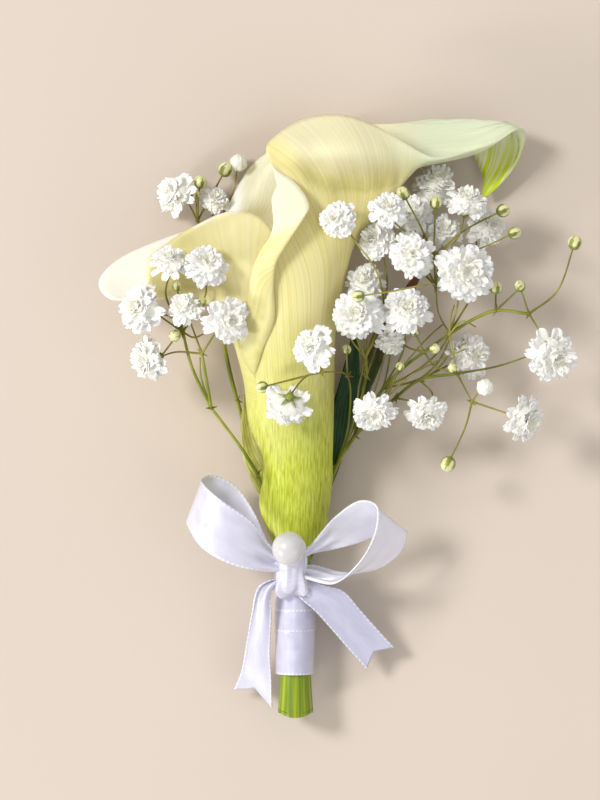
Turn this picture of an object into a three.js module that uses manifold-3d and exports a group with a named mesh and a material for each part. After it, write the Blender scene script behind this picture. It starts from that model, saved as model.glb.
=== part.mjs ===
// A boutonniere laid on its back: a calla lily, baby's breath, three leaves, a satin bow and a pearl pin.
// Millimetres. +Z points up from the surface that it lies on, +Y from the cut stem to the flower.
// Points are given from the middle of the bunch, level with the narrow part of the flower's tube.
import * as THREE from "three";
import { mergeVertices } from "three/addons/utils/BufferGeometryUtils.js";
import Module from "manifold-3d";

const wasm = await Module();
wasm.setup();

// Driving dimensions
const PETAL_THICKNESS = 0.9;
const LEAF_THICKNESS = 0.7;
const RIBBON_THICKNESS = 0.6;
const GAP = 0.3;
const STEM_X = -1.15;
const STEM_Z = 8.6;
const STEM_RADIUS = 3.9;
const STEM_END_RADIUS = 4.5;
const STEM_CUT_Y = -80;
const STEM_TOP_Y = -34.6;
const WRAP_TOP_Y = -42;
const WRAP_BOTTOM_Y = -69.2;
const WRAP_CENTRE_Z = 6.8;
const WRAP_HALF_WIDTH = 5.3;
const WRAP_HALF_DEPTH = 7.1;
const WRAP_WALL = 0.8;
const PEARL_RADIUS = 4.25;
const PEARL_CENTRE = [-2.75, -37, 25];
const PIN_RADIUS = 0.35;
const PIN_LENGTH = 23;
const PIN_SLANT = 45;
const TWIG_RADIUS = 0.42;
const TRUNK_RADIUS = 0.6;

const vector = ([x, y, z]) => new THREE.Vector3(x, y, z);
const radians = THREE.MathUtils.degToRad;

// Solids from points and triangles

function signedVolume(points, triangles) {
  const cross = new THREE.Vector3();
  let volume = 0;
  for (const [a, b, c] of triangles) {
    volume += points[a].dot(cross.crossVectors(points[b], points[c])) / 6;
  }
  return volume;
}

function facetedGeometry(points, triangles) {
  const outward = signedVolume(points, triangles) > 0;
  const ordered = triangles.map(([a, b, c]) => (outward ? [a, b, c] : [a, c, b]));
  const geometry = new THREE.BufferGeometry();
  const coordinates = points.flatMap((point) => [point.x, point.y, point.z]);
  geometry.setAttribute("position", new THREE.Float32BufferAttribute(coordinates, 3));
  geometry.setIndex(ordered.flat());
  return geometry;
}

function toSolid(geometry) {
  const bare = geometry.clone();
  bare.deleteAttribute("normal");
  bare.deleteAttribute("uv");
  const merged = mergeVertices(bare, 1e-4);
  return new wasm.Manifold(new wasm.Mesh({
    numProp: 3,
    vertProperties: Float32Array.from(merged.attributes.position.array),
    triVerts: Uint32Array.from(merged.index.array),
  }));
}

function toGeometry(solid) {
  const mesh = solid.getMesh();
  const geometry = new THREE.BufferGeometry();
  geometry.setAttribute("position", new THREE.Float32BufferAttribute(mesh.vertProperties, 3));
  geometry.setIndex(Array.from(mesh.triVerts));
  return geometry;
}

function fuse(geometries) {
  return toGeometry(geometries.map(toSolid).reduce((whole, next) => whole.add(next)));
}

function cut(geometry, tool) {
  return toGeometry(toSolid(geometry).subtract(toSolid(tool)));
}

// A sheet of even thickness, from a grid of points on its middle surface
function sheetGeometry(grid, thickness) {
  const rows = grid.length;
  const columns = grid[0].length;
  const points = [];
  for (const side of [0.5, -0.5]) {
    for (let row = 0; row < rows; row += 1) {
      for (let column = 0; column < columns; column += 1) {
        const across = grid[row][Math.min(column + 1, columns - 1)].clone();
        across.sub(grid[row][Math.max(column - 1, 0)]);
        const along = grid[Math.min(row + 1, rows - 1)][column].clone();
        along.sub(grid[Math.max(row - 1, 0)][column]);
        const normal = across.cross(along).normalize();
        points.push(grid[row][column].clone().addScaledVector(normal, side * thickness));
      }
    }
  }
  const back = rows * columns;
  const at = (row, column) => row * columns + column;
  const triangles = [];
  for (let row = 0; row < rows - 1; row += 1) {
    for (let column = 0; column < columns - 1; column += 1) {
      const [a, b] = [at(row, column), at(row, column + 1)];
      const [c, d] = [at(row + 1, column + 1), at(row + 1, column)];
      triangles.push([a, b, c], [a, c, d], [back + a, back + c, back + b], [back + a, back + d, back + c]);
    }
  }
  const wall = (a, b) => triangles.push([a, back + a, back + b], [a, back + b, b]);
  for (let column = 0; column < columns - 1; column += 1) {
    wall(at(0, column), at(0, column + 1));
    wall(at(rows - 1, column + 1), at(rows - 1, column));
  }
  for (let row = 0; row < rows - 1; row += 1) {
    wall(at(row + 1, 0), at(row, 0));
    wall(at(row, columns - 1), at(row + 1, columns - 1));
  }
  return facetedGeometry(points, triangles);
}

// A closed body from rings of points, with a point at each end
function ringedGeometry(rings, start, end) {
  const sides = rings[0].length;
  const points = [start, ...rings.flat(), end];
  const at = (ring, side) => 1 + ring * sides + (side % sides);
  const triangles = [];
  for (let side = 0; side < sides; side += 1) {
    triangles.push([0, at(0, side + 1), at(0, side)]);
    for (let ring = 0; ring < rings.length - 1; ring += 1) {
      triangles.push([at(ring, side), at(ring, side + 1), at(ring + 1, side + 1)]);
      triangles.push([at(ring, side), at(ring + 1, side + 1), at(ring + 1, side)]);
    }
    triangles.push([points.length - 1, at(rings.length - 1, side), at(rings.length - 1, side + 1)]);
  }
  return facetedGeometry(points, triangles);
}

function curveThrough(route) {
  return new THREE.CatmullRomCurve3(route.map(vector), false, "centripetal");
}

// A round stem along a route, which may taper to its end
function stemGeometry(route, radius, endRadius = radius, sides = 3, steps = route.length > 2 ? route.length : 1) {
  const curve = curveThrough(route);
  const frames = curve.computeFrenetFrames(steps);
  const rings = [];
  for (let step = 0; step <= steps; step += 1) {
    const centre = curve.getPointAt(step / steps);
    const size = THREE.MathUtils.lerp(radius, endRadius, step / steps);
    rings.push(Array.from({ length: sides }, (_, side) => {
      const angle = (side / sides) * 2 * Math.PI;
      return centre.clone()
        .addScaledVector(frames.normals[step], size * Math.cos(angle))
        .addScaledVector(frames.binormals[step], size * Math.sin(angle));
    }));
  }
  return ringedGeometry(rings, curve.getPointAt(0), curve.getPointAt(1));
}

// Calla spathe: one petal rolled into a tube, with its right side over the front and its left side inside.
// Each level of the tube is [y, centre x, centre z, half-width, half-depth].
const TUBE_LEVELS = [
  [-37, -1.15, 8.8, 5.35, 5.35],
  [-34.6, -1.3, 9.1, 6.3, 5.6],
  [-31, -1.4, 9.7, 7.7, 6.2],
  [-26, -1.7, 10.4, 8.7, 7.5],
  [-20, -0.95, 11, 8.6, 8.2],
  [-14, -0.9, 11.8, 8.6, 9],
  [-6, -2.5, 13.2, 10.4, 10.1],
  [4, -3, 14.3, 11.1, 11.1],
];
const LAYER_STEP = 0.7;
const FIRST_ANGLE = -42;
const LAST_ANGLE = 334;

// The flared part, column by column from the free edge over the front, round the right, the tip,
// the back and the left to the edge inside. First the angle on the tube (0 front, 90 right), then points.
const SPATHE_COLUMNS = [
  [-42, [-9.8, 11, 28.4], [-6.4, 20, 31.6], [-6.6, 29, 33.6]],
  [-38, [-15.2, 13, 26.2], [-12.8, 24, 30.8], [-10.8, 31, 34.2], [-5.8, 34, 35.6]],
  [-30, [-9.2, 14, 28.9], [-9.4, 25, 31], [-9.8, 36.2, 33.8], [-3.4, 38.3, 36]],
  [-15, [-6, 14, 29.5], [-6.3, 27, 31.5], [-7.2, 40.2, 33.6], [0.8, 44.8, 35.6]],
  [5, [-2.8, 14.5, 29.9], [-3.6, 29, 32], [-5.8, 45, 32.4], [2.2, 48.5, 34]],
  [25, [1, 15, 29], [0, 31, 31.6], [-6.6, 50.5, 29.4], [-1.2, 54, 30]],
  [42, [4, 15.5, 27], [4.2, 34, 30.2], [-5.6, 54.5, 27.2], [-6.6, 58, 25.2]],
  [55, [6, 16, 24.6], [7, 36, 28.6], [0, 55, 27], [-8.5, 62.7, 21]],
  [66, [7.3, 16.5, 22], [9, 36, 26.6], [7.4, 46, 28.6], [4.6, 55.6, 24], [0, 62, 24.6], [-5.7, 66.5, 19]],
  [76, [8.2, 17, 19.8], [10.8, 36, 24.4], [11.6, 44.5, 27.4], [11, 53.5, 21.6], [8, 62, 25], [1, 70.5, 17]],
  [86, [8.6, 17, 17.5], [12.4, 37, 22], [15, 45, 25.4], [16.6, 53.5, 19.8], [14.8, 62.5, 24.4], [9.8, 71.5, 18]],
  [97, [8.5, 17, 15], [13, 38, 19], [17.6, 46, 23], [20.8, 54, 17.8], [20.6, 62, 22], [17.5, 69.3, 18.5]],
  [110, [7.8, 17, 12], [13, 38.5, 15.8], [20, 48, 18.8], [24.2, 55, 16.4], [25.2, 61, 19.6], [23.5, 66, 19.5]],
  [124, [6, 17, 8.8], [12.5, 39, 12.5], [26.6, 55.6, 16.4], [30.3, 61.8, 20.6]],
  [138, [3.6, 17, 6.3], [11.5, 40, 9.5], [26.5, 57, 12.6], [35, 60.4, 21]],
  [152, [0.5, 17, 4.5], [10, 41, 7], [26, 58, 9], [38.6, 60.6, 13.4], [41.5, 62, 20]],
  [164, [-2, 17.5, 3.8], [8, 42, 5.5], [24, 60, 6.5], [44.4, 62.4, 11], [48.8, 64.5, 17.5]],
  [168, [-2.6, 17.8, 3.6], [7.5, 42.5, 5], [22.5, 61.3, 5.6], [44, 64.4, 9.8], [55.2, 68.4, 13.6]],
  [172, [-3.2, 18, 3.4], [7, 43, 4.6], [21, 62.5, 4.8], [44, 66.5, 8.6], [54.2, 68.9, 11.6], [56.8, 65.5, 9.5]],
  [176, [-3.9, 18, 3.35], [6.2, 43.5, 4.3], [19.5, 63.3, 4.3], [42, 67.6, 7.8], [53.8, 69.3, 10.4], [55.8, 63.5, 7.4],
    [53.2, 57.4, 5.6]],
  [180, [-4.6, 18, 3.3], [5.5, 44, 4], [18, 64, 3.8], [40, 68.6, 7], [53, 69.5, 9.4], [51.6, 60, 3.6],
    [46.5, 51.3, 4]],
  [188, [-6, 18, 3.4], [3.5, 45, 3.6], [14, 66, 3.2], [36, 69.8, 5.6], [46, 70.2, 7.6], [48.2, 63.4, 2.8],
    [46.2, 56.8, 2.4]],
  [197, [-7.6, 18, 3.8], [1, 46, 3.4], [10, 67, 2.6], [29, 69.9, 3.8], [38.6, 70.4, 4.4], [42, 65, 1.6]],
  [207, [-9.2, 18, 4.6], [-2, 47, 3.6], [6, 67, 2.2], [24, 69.6, 2.4], [34, 69.4, 0.7]],
  [218, [-11, 18, 5.8], [-6, 48, 4], [2, 66, 1.8], [17, 68.6, 1.6], [23, 67, 0.8]],
  [230, [-13, 18, 7.7], [-10, 47, 5], [-4, 63, 2], [10, 66.4, 1]],
  [242, [-14.8, 18, 9.8], [-13.5, 45, 6.5], [-9.6, 58, 2.2], [-2, 66, 0.9]],
  [254, [-16.2, 18.5, 12.3], [-17, 42, 9], [-14.5, 54, 3], [-10.8, 61, 0.6]],
  [262, [-17, 18.5, 13.8], [-19, 38, 11], [-18, 48, 5], [-15, 55.4, 0.6]],
  [268, [-17.4, 18.5, 15], [-21.5, 36, 13], [-20.5, 43.6, 8.2], [-18, 48.5, 3.5]],
  [273, [-17.7, 18.5, 16], [-24, 34.5, 14.5], [-25.4, 39.4, 12], [-24.6, 44, 9]],
  [279, [-18, 18.5, 17.2], [-26.5, 32.5, 15.5], [-32.4, 36.6, 13.5], [-32.3, 41.5, 10]],
  [285, [-18, 18.5, 18.6], [-28.8, 30.8, 16.6], [-38.6, 32.4, 14.6], [-44.8, 36, 12.8]],
  [291, [-17.8, 18.5, 19.8], [-29, 28.5, 17.5], [-40, 28, 15.6], [-50.5, 29.8, 16]],
  [297, [-17.3, 18.5, 21.2], [-27.6, 26.8, 19], [-37.6, 25.4, 16.8], [-47.2, 25.2, 18.6]],
  [303, [-16.8, 18.5, 22.4], [-26, 27, 21], [-34.5, 26, 20], [-40, 27.4, 22.4]],
  [308, [-16.2, 18.5, 23.4], [-24.5, 28, 22.8], [-31.8, 29.6, 23.2], [-36.8, 34.8, 24.4]],
  [313, [-15.4, 18.5, 24.3], [-22.6, 29.6, 24.4], [-28, 33.5, 25.2], [-31.5, 40.2, 25.4]],
  [318, [-14.4, 18.5, 25], [-19.6, 30.6, 25.8], [-23.2, 37, 26.6], [-25.2, 43.8, 26.2]],
  [323, [-13, 18.5, 25.6], [-16, 31, 27], [-17.4, 39, 28], [-18.8, 46.6, 26.8]],
  [328, [-11.6, 18.5, 26], [-12.6, 31, 27.8], [-12.8, 39, 29], [-12.6, 46.6, 27.6]],
  [331, [-10.2, 18.5, 26.2], [-9.6, 31, 28.2], [-9, 37.4, 29.4], [-7.6, 43, 29]],
  [334, [-8.8, 18.5, 26.3], [-6.6, 29, 28], [-4, 36, 28.8]],
];
const FLARE_ROWS = 8;

// The outer layer lies over the inner one, so the tube is a little wider where it starts than where it ends
function tubePoint([y, centreX, centreZ, halfWidth, halfDepth], degrees) {
  const layer = LAYER_STEP * (1 - (2 * (degrees - FIRST_ANGLE)) / (LAST_ANGLE - FIRST_ANGLE));
  const angle = radians(degrees);
  const x = centreX + (halfWidth + layer) * Math.sin(angle);
  const z = centreZ + (halfDepth + layer) * Math.cos(angle);
  return new THREE.Vector3(x, y, z);
}

function spatheColumn([degrees, ...flare]) {
  const tube = TUBE_LEVELS.map((level) => tubePoint(level, degrees));
  const curve = new THREE.CatmullRomCurve3([tube.at(-2), tube.at(-1), ...flare.map(vector)], false, "centripetal");
  const start = 1 / (flare.length + 1);
  const lengths = curve.getLengths(200);
  const startShare = lengths[Math.round(200 * start)] / lengths.at(-1);
  const rows = Array.from({ length: FLARE_ROWS }, (_, row) => {
    return curve.getPointAt(startShare + (1 - startShare) * ((row + 1) / FLARE_ROWS));
  });
  return [...tube, ...rows];
}

function spatheGeometry() {
  const columns = SPATHE_COLUMNS.map(spatheColumn);
  const grid = columns[0].map((_, row) => columns.map((column) => column[row]));
  return sheetGeometry(grid, PETAL_THICKNESS);
}

const group = new THREE.Group();

function material(colour, roughness, metalness = 0) {
  return new THREE.MeshStandardMaterial({ color: colour, roughness, metalness });
}

function addPiece(name, geometry, finish) {
  const mesh = new THREE.Mesh(geometry, finish);
  mesh.name = name;
  group.add(mesh);
}

function addSpathe() {
  addPiece("spathe", spatheGeometry(), material(0xe9e6c8, 0.55));
}

// A round body along +Y at the calla's stem, from a profile of [radius, y]
function turnedAlongStem(profile, sides, centreZ = STEM_Z) {
  const geometry = new THREE.LatheGeometry(profile.map(([radius, y]) => new THREE.Vector2(radius, y)), sides);
  return geometry.translate(STEM_X, 0, centreZ);
}

function addCallaStem() {
  const profile = [
    [0, STEM_CUT_Y - 0.4],
    [STEM_END_RADIUS - 0.5, STEM_CUT_Y],
    [STEM_END_RADIUS, STEM_CUT_Y + 1.5],
    [STEM_RADIUS + 0.15, WRAP_BOTTOM_Y - 1],
    [STEM_RADIUS, WRAP_BOTTOM_Y + 2],
    [STEM_RADIUS, STEM_TOP_Y - 1],
    [STEM_RADIUS - 0.8, STEM_TOP_Y],
    [0, STEM_TOP_Y],
  ];
  const stem = cut(turnedAlongStem(profile, 20), pinTunnel());
  addPiece("calla_stem", stem, material(0x8fae3a, 0.5));
}

// The rod inside the flower stands on the stem and leans with the tube
function addSpadix() {
  const route = [[-1.1, STEM_TOP_Y + 2 * GAP, 8.9], [-1, -22, 10.6], [-2, -6, 13], [-3.6, 8, 15.4], [-3.4, 16, 17]];
  addPiece("spadix", stemGeometry(route, 2.4, 1.7, 8, 7), material(0xe3b93c, 0.7));
}

// Leaves: [centre point, half width], from the stalk end to the tip
const LEAVES = {
  leaf_dark: {
    colour: 0x143a1e,
    crease: 0.25,
    stations: [
      [[0.6, -66, 2.3], 0.4], [[0.7, -52, 2.3], 0.4], [[0.9, -42.6, 2.4], 0.4], [[3, -33, 2.2], 0.7],
      [[6.2, -21, 2.6], 1.8], [[9.2, -9, 3.4], 3.1], [[12, 2, 4.6], 3.1], [[13.4, 11, 5.4], 2.1],
      [[14, 18.5, 6], 0.5],
    ],
  },
  leaf_olive: {
    colour: 0x8d9440,
    crease: 0.4,
    stations: [
      [[-1.9, -66, 2.3], 0.4], [[-1.95, -52, 2.3], 0.4], [[-1.9, -42.6, 2.4], 0.4], [[-3.6, -37, 2.6], 0.5],
      [[-6.6, -27, 2.8], 0.9], [[-9.8, -18.4, 4], 2], [[-11.8, -12.8, 4.4], 3], [[-12.9, -7, 4.3], 3.1],
      [[-13.5, -2.2, 4.6], 2], [[-13.9, 1.4, 5], 0.4],
    ],
  },
  leaf_russet: {
    colour: 0x6b2f14,
    crease: 0.4,
    stations: [
      [[-0.65, -66, 2.2], 0.4], [[-0.6, -52, 2.2], 0.4], [[-0.4, -42.6, 2], 0.4], [[1.4, -36.6, 1.3], 0.6],
      [[5.8, -24, 1.1], 1.1], [[12.4, -6, 1.5], 1.7], [[18, 8, 3], 2], [[24.4, 22, 5.4], 1.9],
      [[30, 32, 7.4], 1.2], [[33.4, 38.6, 8.8], 0.4],
    ],
  },
};

// Each leaf is folded a little along its middle rib
function leafGrid({ crease, stations }) {
  const rib = curveThrough(stations.map(([point]) => point));
  return stations.map(([point, halfWidth], index) => {
    const along = rib.getTangent(index / (stations.length - 1));
    const across = new THREE.Vector3(along.y, -along.x, 0).normalize();
    return [-1, -0.5, 0, 0.5, 1].map((side) => {
      const place = vector(point).addScaledVector(across, side * halfWidth);
      place.z += crease * Math.abs(side) * Math.min(halfWidth, 1.5);
      return place;
    });
  });
}

function addLeaves() {
  for (const [name, leaf] of Object.entries(LEAVES)) {
    addPiece(name, sheetGeometry(leafGrid(leaf), LEAF_THICKNESS), material(leaf.colour, 0.5));
  }
}

// Baby's breath blooms: place of the middle, width, and the way that the bloom faces
const BLOOMS = {
  bloom_right_01: { at: [9.5, 44.5, 32.4], across: 9.5, facing: [-0.4, 0.3, 1] },
  bloom_right_02: { at: [21.6, 47, 31.4], across: 9, facing: [-0.1, 0.6, 1] },
  bloom_right_03: { at: [19, 39.3, 24.6], across: 10, facing: [-0.5, 0.4, 1] },
  bloom_right_04: { at: [27.8, 35.8, 29], across: 11, facing: [0, 0.1, 1] },
  bloom_right_05: { at: [40.8, 31.8, 27.5], across: 14.5, facing: [0.3, 0, 1] },
  bloom_right_06: { at: [41.5, 49, 22], across: 10.5, facing: [0.1, 0.9, 0.6] },
  bloom_right_07: { at: [46.5, 43.4, 14.2], across: 10.5, facing: [0.8, 0.3, 0.8] },
  bloom_right_08: { at: [36.3, 42.2, 17.5], across: 8.5, facing: [0, 0.5, 1] },
  bloom_right_09: { at: [34.2, 54.2, 7.6], across: 11.5, facing: [0.2, 0.5, 0.6] },
  bloom_right_10: { at: [28, 46.4, 15.6], across: 10.5, facing: [-0.2, 0.5, 1] },
  bloom_right_11: { at: [16.2, 29.2, 20.6], across: 10, facing: [-0.3, 0.6, 1] },
  bloom_right_12: { at: [14.3, 21, 29.4], across: 12.5, facing: [-0.2, 0.2, 1] },
  bloom_right_13: { at: [26.3, 22.3, 28], across: 11.5, facing: [0.1, 0.3, 1] },
  bloom_right_14: { at: [22.5, 14.6, 21.6], across: 7.5, facing: [0.1, -0.9, 0.5] },
  bloom_right_15: { at: [3.3, 12.8, 34], across: 10.5, facing: [-0.6, 0.3, 1] },
  bloom_right_16: { at: [-3, -1.2, 32.4], across: 11, facing: [-0.15, -0.65, -0.7] },
  bloom_right_17: { at: [18.5, -2.8, 24], across: 10.5, facing: [0.1, -0.6, 0.9] },
  bloom_right_18: { at: [31.5, -3, 22], across: 9.5, facing: [0.2, -0.7, 0.8] },
  bloom_right_19: { at: [42.6, 11, 14], across: 11, facing: [0.6, 0.2, 0.8] },
  bloom_right_20: { at: [62.6, 11, 24], across: 13, facing: [0.5, -0.4, 0.9] },
  bloom_right_21: { at: [55.6, -4.6, 23], across: 11, facing: [0.9, -0.3, 0.7] },
  bloom_right_22: { at: [46, 3.2, 25.6], across: 4.4, facing: [0.2, -0.3, 1] },
  bloom_left_01: { at: [-39.2, 23, 28], across: 11.5, facing: [-0.7, 0.2, 1] },
  bloom_left_02: { at: [-23.3, 33, 32], across: 10.5, facing: [0.2, 0.6, 1] },
  bloom_left_03: { at: [-32.3, 34.2, 31], across: 9, facing: [-0.1, 0.8, 0.8] },
  bloom_left_04: { at: [-18, 19.6, 32], across: 11.5, facing: [0.4, 0.1, 1] },
  bloom_left_05: { at: [-37.5, 10.3, 22], across: 10.5, facing: [-0.9, -0.2, 0.6] },
  bloom_left_06: { at: [-28.4, 22.6, 28.4], across: 8.5, facing: [-0.2, 0.6, 0.9] },
  bloom_top_01: { at: [-31.2, 51.8, 7.6], across: 10.5, facing: [-0.8, 0.3, 0.7] },
  bloom_top_02: { at: [-15.6, 60, 4], across: 4.6, facing: [0.2, 0.9, 0.4] },
  bloom_top_03: { at: [-21.6, 50.4, 5.6], across: 7, facing: [0.2, 0.6, 0.8] },
};

// Tiers of petals, as shares of the bloom's radius: reach, height, depth of the lobes, turn of the lobes
const PETAL_LOBES = 6;
const BLOOM_TIERS = [
  [0.3, -0.36, 0, 0],
  [0.92, 0, 0.1, 0],
  [0.68, 0.1, 0.04, 1],
  [0.8, 0.34, 0.09, 1],
  [0.48, 0.36, 0.03, 0],
  [0.52, 0.62, 0.08, 0],
  [0.16, 0.54, 0, 1],
];
const BLOOM_UNDERSIDE = 0.4;

function bloomFrame(bloom) {
  const up = vector(bloom.facing).normalize();
  const turn = new THREE.Quaternion().setFromUnitVectors(new THREE.Vector3(0, 0, 1), up);
  return { up, turn, centre: vector(bloom.at), radius: bloom.across / 2 };
}

function bloomGeometry(bloom) {
  const { up, turn, centre, radius } = bloomFrame(bloom);
  const sides = PETAL_LOBES * 2;
  const rings = BLOOM_TIERS.map(([reach, height, lobe, offset]) => {
    return Array.from({ length: sides }, (_, side) => {
      const wave = (side + offset) % 2 === 0 ? 1 : -1;
      const angle = (side / sides) * 2 * Math.PI;
      const distance = radius * (reach + lobe * wave);
      const level = radius * (height + 0.6 * lobe * wave);
      const place = new THREE.Vector3(distance * Math.cos(angle), distance * Math.sin(angle), level);
      return place.applyQuaternion(turn).add(centre);
    });
  });
  const under = centre.clone().addScaledVector(up, -BLOOM_UNDERSIDE * radius);
  const top = centre.clone().addScaledVector(up, 0.6 * radius);
  return ringedGeometry(rings, under, top);
}

function addBlooms() {
  for (const [name, bloom] of Object.entries(BLOOMS)) {
    addPiece(name, bloomGeometry(bloom), material(0xf6f6f0, 0.7));
  }
}

// Baby's breath sprays. Named forks first, then twigs between forks, blooms and buds.
const FORKS = {
  right_foot: [1.45, -66, 3.6],
  right_neck: [1.5, -43, 3.7],
  right_low: [9.2, -16.8, 7.4],
  right_mid: [13.8, -9, 10.4],
  right_inner: [16.6, 6, 12],
  right_bend: [21, 3, 13.5],
  right_fork: [31, 12, 19.5],
  right_star: [37.3, 16.5, 21.4],
  right_outer: [48.8, 22.3, 22.4],
  right_far: [57.1, 21.5, 22.6],
  lower_bend: [24, 0.5, 11.5],
  lower_fork: [30, 5, 13],
  lower_star: [39.3, 6.6, 18.4],
  lower_outer: [43, -0.4, 19.6],
  upper_fork: [34, 28.4, 18.6],
  upper_star: [33.4, 36, 21],
  inner_fork: [11.8, 6, 20.6],
  front_fork: [5.4, 7, 27.4],
  middle_fork: [16.4, 10.6, 17.6],
  left_foot: [-3.75, -66, 3.6],
  left_neck: [-4, -42.8, 3.8],
  left_low: [-10.8, -18.6, 7.2],
  left_bend: [-22.3, -2, 14],
  left_star: [-29.3, 17, 20.4],
  left_fork: [-24.5, 11.6, 20.6],
  top_foot: [-3.15, -66, 2.5],
  top_neck: [-3.05, -43.4, 2.7],
  top_low: [-16, 0, 2.6],
  top_bend: [-22.4, 36, 2.8],
  top_fork: [-26, 45.4, 3.6],
};

// Each twig: the fork or point where it starts, any points on its way, and where it ends
const SPRAYS = {
  spray_right: {
    trunks: [
      ["right_foot", [1.5, -52, 3.7], "right_neck", [4, -36.4, 3.4], [5.9, -28.4, 3.6], "right_low", "right_mid"],
      ["right_mid", "right_bend", [26.3, 8.4, 17], "right_fork", "right_star"],
      ["right_star", [43.4, 20.2, 22], "right_outer", "right_far"],
      ["right_mid", "lower_bend", "lower_fork", "lower_star"],
      ["right_mid", [15, -2, 11], "right_inner", "middle_fork"],
    ],
    blooms: [
      ["middle_fork", [20.8, 22, 23.6], [19, 32, 27], [14, 39, 29.4], "bloom_right_01"],
      ["upper_star", "bloom_right_02"],
      ["middle_fork", [21.8, 28, 18], "bloom_right_03"],
      ["upper_fork", "bloom_right_04"],
      ["right_star", [39.4, 24, 21], "bloom_right_05"],
      ["upper_star", [39.4, 40.6, 22], "bloom_right_06"],
      ["right_star", [44.5, 30, 14.5], "bloom_right_07"],
      ["upper_fork", [35, 35, 14], "bloom_right_08"],
      ["upper_fork", [30.6, 38, 10], [33.4, 48, 6], "bloom_right_09"],
      ["upper_fork", [28, 36, 12], "bloom_right_10"],
      ["middle_fork", "bloom_right_11"],
      ["middle_fork", [14.6, 15, 20.6], "bloom_right_12"],
      ["right_bend", [26, 13, 19], "bloom_right_13"],
      ["right_bend", [22.6, 12, 17], "bloom_right_14"],
      ["front_fork", "bloom_right_15"],
      ["front_fork", [1.2, 5.6, 32.2], "bloom_right_16"],
      ["right_mid", "bloom_right_17"],
      ["lower_bend", "bloom_right_18"],
      ["lower_fork", "bloom_right_19"],
      ["lower_star", [50, 8.6, 19], "bloom_right_20"],
      ["lower_outer", "bloom_right_21"],
      ["lower_outer", "bloom_right_22"],
    ],
    links: [
      ["right_star", [34.6, 22, 19.6], "upper_fork"],
      ["upper_fork", "upper_star"],
      ["lower_star", "lower_outer"],
      ["right_low", [12.2, -6, 14.6], "inner_fork", "front_fork"],
      ["right_star", "lower_star"],
    ],
    buds: [
      ["right_outer", [48.8, 28, 23.4], 3.2],
      ["right_far", [54.8, 28.4, 23.4], 2.8],
      ["right_far", [64, 27, 23.4], [68.5, 39.2, 24], 3.6],
      ["upper_star", [33.8, 49.2, 22.6], 3.2],
      ["upper_star", [29.6, 44, 25.4], [25.6, 51.3, 27.2], 3.4],
      ["upper_star", [44, 37.6, 19], [53.6, 41.8, 20], 3.2],
      ["upper_star", [41.5, 42.6, 20.4], [50.8, 47.4, 19], 3.4],
      ["lower_outer", [41.4, -6.6, 19.6], [37, -16, 20.4], 3.8],
      ["front_fork", [0, 5.6, 30.6], [-9.4, 3.2, 31], 3],
      ["inner_fork", [11.6, 12.6, 22.4], 2.4],
      ["right_fork", [33.6, 12.8, 24], 2.6],
      ["right_fork", [28.6, 17, 21.6], 2.4],
      ["lower_star", [38, 8, 24], 2.4],
    ],
  },
  spray_left: {
    trunks: [
      ["left_foot", [-3.8, -52, 3.6], "left_neck", [-6, -36.4, 3.6], [-7.8, -28.4, 3.5], "left_low"],
      ["left_low", [-14.6, -12.4, 10.6], "left_bend"],
      ["left_bend", [-27, 8, 17.6], "left_star"],
      ["left_bend", "left_fork"],
    ],
    blooms: [
      ["left_star", "bloom_left_01"],
      ["left_star", [-23.4, 26.6, 26.4], "bloom_left_02"],
      ["left_star", [-33.4, 26.4, 26], "bloom_left_03"],
      ["left_fork", "bloom_left_04"],
      ["left_fork", [-31, 12, 20], "bloom_left_05"],
      ["left_fork", "bloom_left_06"],
    ],
    links: [
      ["left_star", [-31, 15.6, 21], "bloom_left_05"],
    ],
    buds: [
      ["left_star", [-31.2, 16, 24.6], 3],
      ["left_star", [-30.6, 28.4, 26], 2.6],
    ],
  },
  spray_top: {
    trunks: [
      ["top_foot", [-3.2, -52, 2.5], "top_neck", [-3.6, -40.6, 2.1], [-4.8, -36, 1.6], [-7.6, -26, 1.4], "top_low",
        [-20, 18, 2.4], "top_bend"],
      ["top_bend", "top_fork"],
    ],
    blooms: [
      ["top_fork", "bloom_top_01"],
      ["top_bend", [-20, 46, 2.2], [-16.6, 54, 2], "bloom_top_02"],
      ["top_bend", "bloom_top_03"],
    ],
    links: [],
    buds: [
      ["top_fork", [-25.7, 50.4, 7.6], [-25.2, 55, 9], 3.2],
      ["top_fork", [-22.4, 52, 3.2], [-18.8, 58.4, 4.6], 3.8],
      ["top_fork", [-26.4, 52, 9], 2.4],
    ],
  },
};

const BUD_SIDES = 6;
const CUP_LENGTH = 1.7;
const CUP_RADIUS = 1.15;

function cupEnd(bloom) {
  const { up, centre, radius } = bloomFrame(bloom);
  const size = bloom.across < 6 ? 0.6 : 1;
  return { up, size, tip: centre.clone().addScaledVector(up, -BLOOM_UNDERSIDE * radius - GAP) };
}

function routePoint(stop) {
  if (Array.isArray(stop)) {
    return stop;
  }
  if (stop in FORKS) {
    return FORKS[stop];
  }
  const { up, tip, size } = cupEnd(BLOOMS[stop]);
  return tip.addScaledVector(up, -CUP_LENGTH * size * 0.6).toArray();
}

// The green cup under a bloom opens towards it
function cupGeometry(bloom) {
  const { up, size, tip } = cupEnd(bloom);
  const base = tip.clone().addScaledVector(up, -CUP_LENGTH * size);
  const turn = new THREE.Quaternion().setFromUnitVectors(new THREE.Vector3(0, 0, 1), up);
  const ring = (centre, radius) => Array.from({ length: 5 }, (_, side) => {
    const angle = (side / 5) * 2 * Math.PI;
    return new THREE.Vector3(radius * Math.cos(angle), radius * Math.sin(angle), 0)
      .applyQuaternion(turn).add(centre);
  });
  const middle = base.clone().lerp(tip, 0.35);
  return ringedGeometry([ring(middle, CUP_RADIUS * size), ring(tip, CUP_RADIUS * size * 1.15)], base, tip);
}

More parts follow.
